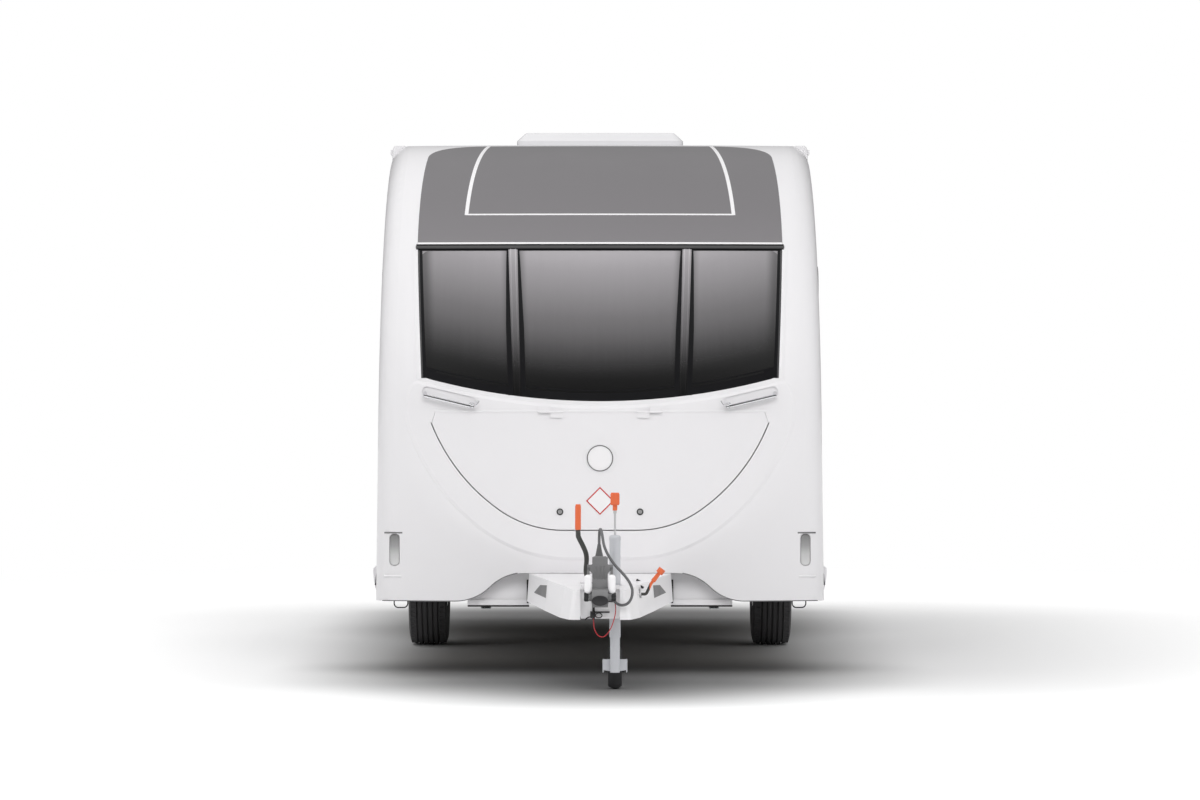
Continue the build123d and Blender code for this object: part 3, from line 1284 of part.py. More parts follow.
RAIL_OUT = 12
with BuildPart() as awning_rails:
    with BuildSketch(Plane.XZ.offset(-2840)):
        with Locations((ROOF_HALF_WIDTH + 2 + RAIL_OUT / 2, ROOF_Z - 26)):
            Rectangle(RAIL_OUT, 24)
    extrude(amount=3300)
    add(outer_block, mode=Mode.SUBTRACT)
    mirror(about=Plane.YZ)
write(awning_rails, "awning_rails")

# ---- cable, plug and breakaway cable ----
CABLE_RADIUS = 6.5
BREAKAWAY_RADIUS = 2.2
# the towing cable, from the plug's boot to its gland
CABLE_ROUTE = (
    (-4, -2850, 690), (-4, -2850, 732), (-1, -2880, 762), (6, -2921, 761), (11, -2950, 731), (20, -2958, 676),
    (60, -2960, 606), (116, -2954, 550), (150, -2948, 496), (150, -2946, 452), (130, -2938, 417), (96, -2920, 408),
    (66, -2880, 424), (56, -2830, 441),
)
BREAKAWAY_ROUTE = (
    (68, -2830, 426), (71, -2858, 412), (74, -2888, 386), (67, -2906, 348), (50, -2914, 300), (22, -2914, 262),
    (-8, -2911, 265), (-28, -2898, 300), (-30, -2864, 336), (-30, -2830, 350),
)


def corner_radii(route):
    """0.45 of the shorter run, divided by the tangent of half the turn."""
    points = [Vector(*point) for point in route]
    radii = []
    for before, here, after in zip(points, points[1:], points[2:]):
        turn = (here - before).get_angle(after - here)
        shorter = min((here - before).length, (after - here).length)
        radii.append(0.45 * shorter / tan(radians(turn / 2)))
    return radii


def cord(route, radius, name):
    radii = corner_radii(route)
    print(name, "radii", [round(r) for r in radii])
    with BuildPart() as tube:
        with BuildLine() as path:
            FilletPolyline(*route, radius=radii)
        wire = path.wires()[0]
        with BuildSketch(Plane(origin=wire @ 0, z_dir=wire % 0)):
            Circle(radius)
        sweep()
    expected = 3.14159 * radius ** 2 * wire.length
    print(name, "length", round(wire.length), "volume ratio", round(tube.part.volume / expected, 4))
    return tube


cable = cord(CABLE_ROUTE, CABLE_RADIUS, "cable")
write(cable, "towing_cable")
breakaway = cord(BREAKAWAY_ROUTE, BREAKAWAY_RADIUS, "breakaway")
write(breakaway, "breakaway_cable")

PLUG_AT = (-4, -2850)
# radius and height of the plug's body, its collar and the long boot that the cable leaves
PLUG_BODY = (31, 560)
PLUG_COLLAR = (33, 606)
BOOT = ((22, 622), (13, 660), (8, 690))
with BuildPart() as plug:
    with BuildSketch(Plane.XY.offset(PLUG_BODY[1])):
        with Locations(PLUG_AT):
            Circle(PLUG_BODY[0])
    extrude(amount=PLUG_COLLAR[1] - PLUG_BODY[1])
    with BuildSketch(Plane.XY.offset(PLUG_COLLAR[1])):
        with Locations(PLUG_AT):
            Circle(PLUG_COLLAR[0])
    extrude(amount=BOOT[0][1] - PLUG_COLLAR[1])
    fillet(plug.faces().sort_by(Axis.Z)[-1].edges(), 5)
    for radius, level in BOOT:
        with BuildSketch(Plane.XY.offset(level)):
            with Locations(PLUG_AT):
                Circle(radius)
    loft()
write(plug, "towing_plug")

with BuildPart() as cable_brackets:
    with BuildSketch(Plane.XY.offset(HOUSING_Z[1])):
        with Locations((-4, -2811)):
            Rectangle(60, 30)
    extrude(amount=70)
    with BuildSketch(Plane.XY.offset(HOUSING_Z[1] + 70)):
        with Locations((-4, -2834)):
            Rectangle(60, 76)
    extrude(amount=12)
    with BuildSketch(Plane.XY.offset(420)):
        with Locations((56, -2815)):
            Rectangle(36, 29.9)
    extrude(amount=34)
    with BuildSketch(Plane.XY.offset(340)):
        with Locations((-30, -2824)):
            Rectangle(12, 12)
    extrude(amount=HOUSING_Z[0] - 340)
write(cable_brackets, "cable_brackets")
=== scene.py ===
import math

import bmesh
import bpy
import numpy as np
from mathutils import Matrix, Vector
from mathutils.bvhtree import BVHTree


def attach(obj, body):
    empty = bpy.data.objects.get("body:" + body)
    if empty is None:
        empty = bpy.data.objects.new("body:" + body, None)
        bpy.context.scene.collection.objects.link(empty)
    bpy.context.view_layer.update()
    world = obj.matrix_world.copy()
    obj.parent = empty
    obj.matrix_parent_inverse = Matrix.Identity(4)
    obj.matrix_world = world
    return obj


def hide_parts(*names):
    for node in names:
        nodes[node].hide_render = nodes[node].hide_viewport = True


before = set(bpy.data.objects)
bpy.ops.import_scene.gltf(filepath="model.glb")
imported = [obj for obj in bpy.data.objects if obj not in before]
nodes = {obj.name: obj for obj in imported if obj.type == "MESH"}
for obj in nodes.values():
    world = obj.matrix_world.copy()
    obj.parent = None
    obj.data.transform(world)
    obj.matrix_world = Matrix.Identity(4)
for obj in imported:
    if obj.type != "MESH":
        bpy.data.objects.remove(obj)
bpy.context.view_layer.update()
print("stage 1: frame loaded,", len(nodes), "solids")

# Metres throughout. -Y is forwards to the hitch, +X the entry side, the ground is z 0.
body = {
    "noseY": -1.9, "noseZ": 1.25,       # where the upright foot of the front ends
    "browY": -1.625, "browZ": 2.09,     # top of the front windows
    "roofY": -0.7, "roofZ": 2.64,       # where the crown meets the roof
    "bowY": 4.1,                        # upright axis that the bowed front turns about
    "halfFoot": 1.095, "halfRoof": 1.065, "footZ": 0.372,       # the side walls lean inwards going up
    "tailY": 3.165,                     # flat face of the tail
    "shield": 0.006,                    # the middle of the front and the locker lid stand this far proud
}
sides = (-1, 1)
facingFront = ((1, 0, 0), (0, 0, 1))    # the across and up of a plate that faces forwards
facingTail = ((-1, 0, 0), (0, 0, 1))
forward, upright = (0, -1, 0), (0, 0, 1)
sunk = 0.0004                           # the backs of thin sheets lie this far inside the skin

# A shape is an array of points and a list of face arrays, one array for each number of corners.


def joined(shapes):
    # several shapes as one: the faces of each count on from the points before it
    starts = np.cumsum([0] + [len(points) for points, parts in shapes])
    faces = [part + start for (points, parts), start in zip(shapes, starts) for part in parts]
    return np.concatenate([points for points, parts in shapes]), faces


def tidyMesh(mesh):
    # merges seams and poles, then turns every face outwards
    work = bmesh.new()
    work.from_mesh(mesh)
    bmesh.ops.remove_doubles(work, verts=work.verts, dist=1e-6)
    bmesh.ops.recalc_face_normals(work, faces=work.faces)
    work.to_mesh(mesh)
    work.free()


def placed(name, data):
    # an object in the scene, at the origin until it's moved
    thing = bpy.data.objects.new(name, data)
    bpy.context.scene.collection.objects.link(thing)
    return thing


def makePiece(name, shapes, finish, rides="root", smooth=35):
    # one mesh from a list of shapes; edges sharper than the smooth angle stay sharp, and 0 leaves all faces flat
    points, faces = joined(shapes)
    mesh = bpy.data.meshes.new(name)
    mesh.from_pydata(points.tolist(), [], [face for part in faces for face in part.tolist()])
    tidyMesh(mesh)
    if smooth:
        mesh.shade_smooth()
        mesh.set_sharp_from_angle(angle=math.radians(smooth))
    mesh.materials.append(finishes[finish])
    piece = placed(name, mesh)
    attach(piece, rides)
    return piece


def gridFaces(rows, columns, closeRows=False, closeColumns=False):
    # the quads of a grid: each joins a point to the next in its row and to the two in the next row
    a, b = np.meshgrid(np.arange(rows - (not closeRows)), np.arange(columns - (not closeColumns)), indexing="ij")
    a, b = a.ravel(), b.ravel()
    nextA, nextB = (a + 1) % rows, (b + 1) % columns
    return np.stack([a * columns + b, a * columns + nextB, nextA * columns + nextB, nextA * columns + b], 1)


def stackFaces(rings, count):
    # the walls of a stack of rings, and a cap at either end
    ring = np.arange(count)[None]
    return [gridFaces(rings, count, closeColumns=True), ring[:, ::-1], ring + (rings - 1) * count]


def slab(outer, inner):
    # a closed sheet between two grids: each row runs along the outer grid and back along the inner one
    rows, columns = outer.shape[:2]
    loop = np.concatenate([outer, inner[:, ::-1]], 1)
    step = np.arange(columns - 1)
    ends = [base + np.stack([step, step + 1, 2 * columns - 2 - step, 2 * columns - 1 - step], 1)
            for base in (0, (rows - 1) * 2 * columns)]
    return loop.reshape(-1, 3), [gridFaces(rows, 2 * columns, closeColumns=True), *ends]


def fullTurn(count):
    # equal angles round a full turn
    return np.arange(count) * 2 * np.pi / count


def turned(profile, origin, axis, count):
    # a profile of (radius, distance along the axis) turned about the axis
    profile = np.asarray(profile, float)
    axis = np.asarray(axis, float) / np.linalg.norm(axis)
    across = np.cross(axis, (0, 0, 1) if abs(axis[2]) < 0.9 else (1, 0, 0))
    across = across / np.linalg.norm(across)
    up = np.cross(axis, across)
    angle = fullTurn(count)
    ring = np.cos(angle)[:, None] * across + np.sin(angle)[:, None] * up
    points = np.asarray(origin) + profile[:, None, :1] * ring[None] + profile[:, None, 1:] * axis
    return points.reshape(-1, 3), [gridFaces(len(profile), count, closeColumns=True)]


def roundedBox(width, height, radius, arc, middle=(0.0, 0.0)):
    # outline of a rectangle whose corners are quarter circles
    angle = np.linspace(0, np.pi / 2, arc)
    corner = np.stack([np.cos(angle), np.sin(angle)], 1) * radius
    turns = []
    for k, way in enumerate(((1, 1), (-1, 1), (-1, -1), (1, -1))):
        c, s = round(math.cos(k * math.pi / 2)), round(math.sin(k * math.pi / 2))
        centre = way * np.array([width / 2 - radius, height / 2 - radius])
        turns.append(centre + corner @ np.array([[c, s], [-s, c]]))
    return np.concatenate(turns) + np.asarray(middle)


def plate(outline, origin, facing, depth, edge=0.0, steps=4):
    # an outline pushed out by its depth, its front edge rounded by a quarter circle of the edge radius
    outline = np.asarray(outline, float)
    across, up = np.asarray(facing, float)
    out = np.cross(across, up)
    side = np.roll(outline, -1, 0) - np.roll(outline, 1, 0)
    normal = np.stack([side[:, 1], -side[:, 0]], 1) / np.maximum(np.linalg.norm(side, axis=1), 1e-9)[:, None]
    turn = np.linspace(0, np.pi / 2, steps) if edge else np.array([0.0])
    inset = np.concatenate([[0.0], edge * (1 - np.cos(turn))])
    level = np.concatenate([[0.0], depth - edge + edge * np.sin(turn)])
    flat = outline[None] - inset[:, None, None] * normal[None]
    points = np.asarray(origin) + flat[..., :1] * across + flat[..., 1:] * up + level[:, None, None] * out
    return points.reshape(-1, 3), stackFaces(len(level), len(outline))


def tube(path, radius, count, reference=(0, 1, 0)):
    # rings across a path: each stands square to the path's own direction there and to the reference
    path = np.asarray(path, float)
    along = np.gradient(path, axis=0)
    along /= np.linalg.norm(along, axis=1)[:, None]
    across = np.cross(along, np.asarray(reference, float))
    across /= np.linalg.norm(across, axis=1)[:, None]
    up = np.cross(across, along)
    angle = fullTurn(count)[None, :, None]
    radius = np.broadcast_to(radius, len(path))[:, None, None]
    points = path[:, None] + radius * (np.cos(angle) * across[:, None] + np.sin(angle) * up[:, None])
    return points.reshape(-1, 3), stackFaces(len(path), count)


def smoothPath(points, count):
    # a Catmull-Rom line through the points
    points = np.asarray(points, float)
    points = np.concatenate([points[:1] * 2 - points[1:2], points, points[-1:] * 2 - points[-2:-1]])
    at = np.linspace(0, len(points) - 3 - 1e-9, count)
    index = at.astype(int)
    t = (at - index)[:, None]
    p0, p1, p2, p3 = (points[index + shift] for shift in range(4))
    bend = (2 * p0 - 5 * p1 + 4 * p2 - p3) * t ** 2 + (3 * p1 - p0 - 3 * p2 + p3) * t ** 3
    return 0.5 * (2 * p1 + (p2 - p0) * t + bend)


def hitOn(node, x, z):
    # how far forward a solid comes at a place across the front, by one ray straight back
    tree = BVHTree.FromObject(node, bpy.context.evaluated_depsgraph_get())
    return tree.ray_cast(Vector((x, -4.0, z)), Vector((0, 1, 0)))[0].y


# The bowed front is a surface of x and of the distance up its middle line.
noseY, noseZ, browY, browZ, roofY, roofZ, bowY = (
    body[key] for key in ("noseY", "noseZ", "browY", "browZ", "roofY", "roofZ", "bowY"))
browTurn = 2 * math.atan2(browY - noseY, browZ - noseZ)
roofTurn = 2 * math.atan2(roofY - browY, roofZ - browZ) - browTurn
glassRadius = (browZ - noseZ) / math.sin(browTurn)
crownRadius = (roofZ - browZ) / (math.sin(roofTurn) - math.sin(browTurn))
glassRise = glassRadius * browTurn


def upFront(z):
    # distance up the front's middle line, 0 where the upright foot ends, at a height z
    z = np.asarray(z, float)
    glass = glassRadius * np.arcsin(np.clip((z - noseZ) / glassRadius, 0, 1))
    crownTurn = np.arcsin(np.clip((z - browZ) / crownRadius + math.sin(browTurn), 0, 1))
    crown = glassRise + crownRadius * (crownTurn - browTurn)
    return np.where(z < noseZ, z - noseZ, np.where(z < browZ, glass, crown))


def frontSkin(x, up, lift):
    # an upright foot, a tangent arc at the windows and one at the crown, turned about the bow axis
    x, up = np.broadcast_arrays(np.asarray(x, float), np.asarray(up, float))
    low = up < glassRise
    turn = np.where(low, np.clip(up, 0, None) / glassRadius, browTurn + (up - glassRise) / crownRadius)
    turn = np.minimum(turn, roofTurn)
    y = np.where(low, noseY + glassRadius * (1 - np.cos(turn)),
                 browY + crownRadius * (math.cos(browTurn) - np.cos(turn)))
    z = np.where(low, noseZ + np.minimum(up, 0) + glassRadius * np.sin(turn),
                 browZ + crownRadius * (np.sin(turn) - math.sin(browTurn)))
    reach = bowY - y
    swing = np.arcsin(x / reach)
    reach, z = reach + lift * np.cos(turn), z + lift * np.sin(turn)
    return np.stack([reach * np.sin(swing), bowY - reach * np.cos(swing), z], -1)


def skinStrip(x, up, width, lift, crown=0.0, columns=5):
    # a strip along a line on the front, laid out square to the line on both sides
    x, up = np.broadcast_arrays(np.asarray(x, float), np.asarray(up, float))
    along = np.gradient(np.stack([x, up], 1), axis=0)
    along /= np.linalg.norm(along, axis=1)[:, None]
    offset = np.linspace(-0.5, 0.5, columns)
    width = np.reshape(width, (-1, 1))
    gridX = x[:, None] + offset * width * along[:, 1:]
    gridUp = up[:, None] - offset * width * along[:, :1]
    rise = lift + crown * np.cos(offset * np.pi)[None] * np.ones_like(gridX)
    return slab(frontSkin(gridX, gridUp, rise), frontSkin(gridX, gridUp, -sunk))


def stripAt(x, z, width, lift, **more):
    # the same strip, its line given by heights
    return skinStrip(x, upFront(z), width, lift, **more)


# Finishes. Every one takes the object's own coordinates.
def feed(tree, node, sockets):
    # numbers and colours are set on a node's sockets, and outputs are linked to them
    for socket, value in sockets.items():
        if isinstance(value, bpy.types.NodeSocket):
            tree.links.new(value, node.inputs[socket])
        else:
            node.inputs[socket].default_value = value


def addNode(tree, kind, sockets=None, **settings):
    # the outputs of a new node
    node = tree.nodes.new("ShaderNode" + kind)
    for key, value in settings.items():
        setattr(node, key, value)
    feed(tree, node, sockets or {})
    return node.outputs


def newFinish(name):
    # a material, with its node tree, its shader and the coordinates
    finish = bpy.data.materials.new(name)
    finish.use_nodes = True
    tree = finish.node_tree
    return finish, tree, tree.nodes["Principled BSDF"], addNode(tree, "TexCoord")["Object"]


def calc(tree, operation, *values):
    return addNode(tree, "Math", dict(enumerate(values)), operation=operation)[0]


def chain(tree, value, *steps):
    # sums one after another, each on the value before it
    for operation, *rest in steps:
        value = calc(tree, operation, value, *rest)
    return value


def distanceOf(tree, first, second):
    # the square root of the sum of two squares
    squares = [calc(tree, "MULTIPLY", value, value) for value in (first, second)]
    return calc(tree, "SQRT", calc(tree, "ADD", *squares))


def axesOf(tree, where):
    return addNode(tree, "SeparateXYZ", {0: where})


def smoothRise(tree, value, start, end, low=0.0, high=1.0):
    # one number up to the start, another past the end, and a smooth rise between them
    sockets = {"Value": value, "From Min": start, "From Max": end, "To Min": low, "To Max": high}
    return addNode(tree, "MapRange", sockets, interpolation_type="SMOOTHSTEP")["Result"]


def mixed(tree, factor, first, second, blend="MIX"):
    return addNode(tree, "MixRGB", {0: factor, 1: first, 2: second}, blend_type=blend)[0]


def noiseNode(tree, where, scale, detail=3.0, stretch=None):
    if stretch:
        where = addNode(tree, "Mapping", {"Vector": where, "Scale": stretch})["Vector"]
    return addNode(tree, "TexNoise", {"Vector": where, "Scale": scale, "Detail": detail})["Fac"]


def ramp(tree, factor, stops):
    # colours between stops, as (position, colour or grey)
    node = tree.nodes.new("ShaderNodeValToRGB")
    while len(node.color_ramp.elements) < len(stops):
        node.color_ramp.elements.new(0.5)
    for element, (position, colour) in zip(node.color_ramp.elements, stops):
        element.position = position
        element.color = (*((colour,) * 3 if np.isscalar(colour) else colour), 1)
    feed(tree, node, {"Fac": factor})
    return node.outputs["Color"]


def drifting(tree, noise, pair):
    # a drift from one tone to another over the middle of a noise's range
    return ramp(tree, noise, ((0.3, pair[0]), (0.7, pair[1])))


def bumpNode(tree, height, strength, distance):
    return addNode(tree, "Bump", {"Strength": strength, "Distance": distance, "Height": height})["Normal"]


def mottled(name, look):
    # colour drifts between two tones by one noise, roughness by a second, fine relief by a third
    finish, tree, shader, where = newFinish(name)
    tones, rough, relief = look[:3]
    more = look[3] if len(look) > 3 else {}
    drift = noiseNode(tree, where, more.get("driftScale", 3.0), 4.0, more.get("stretch"))
    feed(tree, shader, {
        "Base Color": drifting(tree, drift, tones), "Metallic": more.get("metal", 0.0),
        "Roughness": drifting(tree, noiseNode(tree, where, 9.0, 5.0), rough),
        "Coat Weight": more.get("coat", 0.0), "Coat Roughness": 0.05,
        "Specular IOR Level": more.get("specular", 0.5)})
    if relief:
        strength, scale, depth = relief
        grain = noiseNode(tree, where, scale, 2.0, more.get("grain"))
        feed(tree, shader, {"Normal": bumpNode(tree, grain, strength, depth)})
    return finish


# two tones, two roughnesses, the relief's strength, scale and depth, and what differs from plain plastic
looks = {
    "gelCoat": (((0.8, 0.79, 0.805), (0.808, 0.798, 0.813)), (0.28, 0.32), (0.05, 420.0, 0.0003),
        {"coat": 0.25, "specular": 0.35, "driftScale": 1.2}),
    "wallPaint": (((0.8, 0.79, 0.805), (0.808, 0.798, 0.813)), (0.3, 0.36), (0.06, 160.0, 0.0004),
        {"coat": 0.2, "specular": 0.4, "driftScale": 1.2}),
    "skirtPlastic": (((0.77, 0.76, 0.78), (0.8, 0.79, 0.81)), (0.35, 0.45), (0.06, 300.0, 0.0004)),
    "stripeWhite": (((0.84, 0.83, 0.84), (0.87, 0.86, 0.87)), (0.3, 0.36), None),
    "blackTrim": (((0.012, 0.012, 0.013), (0.02, 0.02, 0.022)), (0.3, 0.45), (0.1, 500.0, 0.0003)),
    "railGrey": (((0.05, 0.049, 0.051), (0.06, 0.059, 0.061)), (0.35, 0.45), (0.1, 500.0, 0.0003)),
    "paleTrim": (((0.52, 0.52, 0.53), (0.58, 0.58, 0.59)), (0.4, 0.5), (0.1, 400.0, 0.0003)),
    "handleShadow": (((0.05, 0.05, 0.052), (0.07, 0.07, 0.072)), (0.4, 0.5), None),
    "ringSteel": (((0.2, 0.2, 0.205), (0.26, 0.26, 0.265)), (0.15, 0.25), None, {"metal": 0.7}),
    "shadowGrey": (((0.13, 0.13, 0.134), (0.17, 0.17, 0.174)), (0.45, 0.55), None),
    "castGrey": (((0.2, 0.2, 0.205), (0.27, 0.27, 0.275)), (0.38, 0.55), (0.3, 260.0, 0.0006), {"driftScale": 14.0}),
    "galvanised": (((0.42, 0.44, 0.46), (0.6, 0.62, 0.64)), (0.3, 0.5), (0.15, 90.0, 0.0005),
        {"metal": 0.85, "driftScale": 35.0}),
    "alloySilver": (((0.6, 0.6, 0.62), (0.66, 0.66, 0.68)), (0.22, 0.32), (0.05, 700.0, 0.0002),
        {"metal": 0.8, "coat": 0.5}),
    "coverWhite": (((0.88, 0.872, 0.885), (0.895, 0.885, 0.9)), (0.3, 0.38), (0.05, 300.0, 0.0003),
        {"coat": 0.2, "driftScale": 1.5}),
    "plugGrey": (((0.115, 0.115, 0.116), (0.14, 0.14, 0.142)), (0.45, 0.55), (0.15, 600.0, 0.0002)),
    "leverGrey": (((0.165, 0.165, 0.167), (0.185, 0.185, 0.188)), (0.4, 0.5), (0.15, 420.0, 0.0003)),
    "zincTube": (((0.55, 0.56, 0.59), (0.59, 0.6, 0.63)), (0.28, 0.38), (0.08, 260.0, 0.0003), {"metal": 0.15}),
    "brightSteel": (((0.72, 0.72, 0.74), (0.8, 0.8, 0.82)), (0.14, 0.26), (0.05, 300.0, 0.0002), {"metal": 1.0}),
    "tyreRubber": (((0.05, 0.049, 0.051), (0.062, 0.061, 0.063)), (0.6, 0.8), (0.25, 350.0, 0.0006),
        {"specular": 0.35, "driftScale": 9.0}),
    "sealBlack": (((0.004, 0.004, 0.005), (0.007, 0.007, 0.008)), (0.4, 0.5), None, {"specular": 0.2}),
    "softRubber": (((0.02, 0.02, 0.021), (0.035, 0.035, 0.037)), (0.5, 0.65), (0.15, 500.0, 0.0003)),
    "cableGrey": (((0.13, 0.13, 0.135), (0.17, 0.17, 0.175)), (0.42, 0.55), (0.15, 700.0, 0.0002)),
    "cordRed": (((0.5, 0.03, 0.04), (0.6, 0.05, 0.06)), (0.35, 0.45), (0.2, 1500.0, 0.0002)),
    "signRed": (((0.5, 0.008, 0.008), (0.56, 0.012, 0.012)), (0.35, 0.45), None),
    "lampRed": (((0.42, 0.01, 0.01), (0.5, 0.015, 0.015)), (0.08, 0.14), (0.3, 180.0, 0.001), {"coat": 0.8}),
    "lampAmber": (((0.75, 0.22, 0.01), (0.82, 0.27, 0.015)), (0.08, 0.14), (0.3, 180.0, 0.001), {"coat": 0.8}),
    "lampClear": (((0.5, 0.5, 0.51), (0.62, 0.62, 0.63)), (0.08, 0.16), (0.3, 140.0, 0.001), {"coat": 0.8}),
    "domeAcrylic": (((0.76, 0.755, 0.77), (0.79, 0.785, 0.8)), (0.12, 0.2), (0.02, 12.0, 0.003), {"coat": 0.5}),
    "sealedBoard": (((0.1, 0.07, 0.045), (0.16, 0.115, 0.075)), (0.6, 0.75), (0.2, 120.0, 0.0005),
        {"driftScale": 26.0, "stretch": (1.0, 0.12, 1.0), "grain": (1.0, 0.1, 1.0)}),
    "boxGrey": (((0.3, 0.3, 0.31), (0.35, 0.35, 0.36)), (0.5, 0.6), (0.15, 300.0, 0.0005)),
    "plateYellow": (((0.8, 0.55, 0.04), (0.84, 0.6, 0.06)), (0.25, 0.35), None, {"coat": 0.4}),
    "orangeGrip": (((0.72, 0.13, 0.045), (0.8, 0.17, 0.06)), (0.38, 0.5), (0.12, 400.0, 0.0003)),
}
finishes = {name: mottled(name, look) for name, look in looks.items()}


def ringedFinish(name, spot):
    # tone by the distance from the nearer of two centres, one on each side, measured across the front
    finish, tree, shader, where = newFinish(name)
    axes = axesOf(tree, where)
    sideways = chain(tree, axes["X"], ("ABSOLUTE",), ("SUBTRACT", spot["x"]))
    reach = distanceOf(tree, sideways, calc(tree, "SUBTRACT", axes["Z"], spot["z"]))
    feed(tree, shader, {"Base Color": ramp(tree, calc(tree, "DIVIDE", reach, spot["radius"]), spot["rings"]),
                        "Roughness": drifting(tree, noiseNode(tree, where, 200.0), spot["rough"])})
    return finish


bulge = {"halfWidth": 0.935, "middleZ": 1.32, "drop": 0.746, "slope": 0.3, "soft": 0.06}


def bulgeRelief(finish):
    # outside the rounded foot of the raised middle the skin falls away: height falls with the distance past
    # an ellipse, softly at first and then at an even slope
    tree = finish.node_tree
    axes = axesOf(tree, addNode(tree, "TexCoord")["Object"])
    across = calc(tree, "DIVIDE", axes["X"], bulge["halfWidth"])
    down = chain(tree, axes["Z"], ("SUBTRACT", bulge["middleZ"]), ("MINIMUM", 0.0), ("DIVIDE", bulge["drop"]))
    past = chain(tree, distanceOf(tree, across, down), ("SUBTRACT", 1.0), ("MAXIMUM", 0.0))
    height = chain(tree, past, ("MULTIPLY_ADD", past, bulge["soft"] ** 2), ("SQRT",),
                   ("MULTIPLY", -bulge["slope"] * bulge["drop"]))
    feed(tree, tree.nodes["Principled BSDF"], {"Normal": bumpNode(tree, height, 1.0, 1.0)})


finishes["frontGel"] = mottled("frontGel", looks["gelCoat"])
bulgeRelief(finishes["frontGel"])

frontGlass = {
    "footZ": 1.361, "footBow": 0.156,   # lower edge of the panes: z = footZ + footBow * x * x
    "rise": 0.74,
    # share of the rise, and the grey: the acrylic's dark tint with a painted reflection, pale at the top and near
    # black at the foot
    "toneAndPaintedLight": ((0.0, 0.002), (0.12, 0.003), (0.16, 0.008), (0.23, 0.027), (0.32, 0.06), (0.43, 0.106),
             (0.52, 0.135), (0.66, 0.2), (0.75, 0.245), (0.83, 0.285), (0.91, 0.345), (1.0, 0.4)),
}
besideGlass = {"pillar": 0.4, "side": 0.858, "lean": 0.036, "reach": (0.014, 0.07), "shade": 0.6}


def shadeBeside(tree, colour, across, height):
    # painted shade: the tint darkens within a hand's breadth of the pillars and of the outer edges, which both lean
    # outwards
    sideways = calc(tree, "ABSOLUTE", across)
    pillarLine, sideLine = (calc(tree, "MULTIPLY_ADD", height, besideGlass["lean"], besideGlass[foot])
                            for foot in ("pillar", "side"))
    fromPillar = chain(tree, sideways, ("SUBTRACT", pillarLine), ("ABSOLUTE",))
    nearest = calc(tree, "MINIMUM", fromPillar, chain(tree, sideways, ("SUBTRACT", sideLine), ("MULTIPLY", -1.0)))
    shade = smoothRise(tree, nearest, *besideGlass["reach"], 1 - besideGlass["shade"])
    return mixed(tree, 1.0, colour, shade, "MULTIPLY")


def acrylicFinish(name, glass, rough=0.06, coat=0.4, beside=False):
    # tinted acrylic, its tone a ramp of the height above the pane's own curved foot, a little streaked: on the panes
    # the ramp is a painted reflection, pale towards the top, and on the grey band it is painted shade
    finish, tree, shader, where = newFinish(name)
    axes = axesOf(tree, where)
    bow = chain(tree, axes["X"], ("MULTIPLY", axes["X"]), ("MULTIPLY", glass["footBow"]))
    height = chain(tree, axes["Z"], ("SUBTRACT", glass["footZ"]), ("SUBTRACT", bow))
    streak = noiseNode(tree, where, 7.0, 2.0, (6.0, 1.0, 0.2))
    height = chain(tree, streak, ("SUBTRACT", 0.5), ("MULTIPLY_ADD", 0.014, height))
    share = calc(tree, "DIVIDE", height, glass["rise"])
    colour = ramp(tree, share, [(at, (tone, tone * 0.955, tone)) for at, tone in glass["toneAndPaintedLight"]])
    feed(tree, shader, {
        "Base Color": shadeBeside(tree, colour, axes["X"], height) if beside else colour,
        "Roughness": drifting(tree, noiseNode(tree, where, 5.0), (rough, rough + 0.03)),
        "Coat Weight": coat, "Coat Roughness": 0.03})
    return finish


def splitFinish(name, lowLook, highLook, axis, edge):
    # two moulded materials on one piece: one below the edge along an axis, the other above it
    finish, tree, shader, where = newFinish(name)
    high = calc(tree, "GREATER_THAN", axesOf(tree, where)[axis], edge)
    drift = noiseNode(tree, where, 6.0)
    tones, rough = ([drifting(tree, drift, look[part]) for look in (lowLook, highLook)] for part in (0, 1))
    feed(tree, shader, {"Base Color": mixed(tree, high, *tones), "Roughness": mixed(tree, high, *rough),
                        "Normal": bumpNode(tree, noiseNode(tree, where, 500.0, 2.0), 0.1, 0.0003)})
    return finish


def markerFinish(name, lens):
    # the lens is deepest in shade under its hood: its tone rises from the hood to the foot
    finish, tree, shader, where = newFinish(name)
    share = chain(tree, axesOf(tree, where)["Z"], ("SUBTRACT", lens["footZ"]), ("DIVIDE", lens["rise"]))
    feed(tree, shader, {"Base Color": ramp(tree, share, lens["tones"]), "Coat Weight": 0.6,
                        "Roughness": drifting(tree, noiseNode(tree, where, 60.0), lens["rough"])})
    return finish
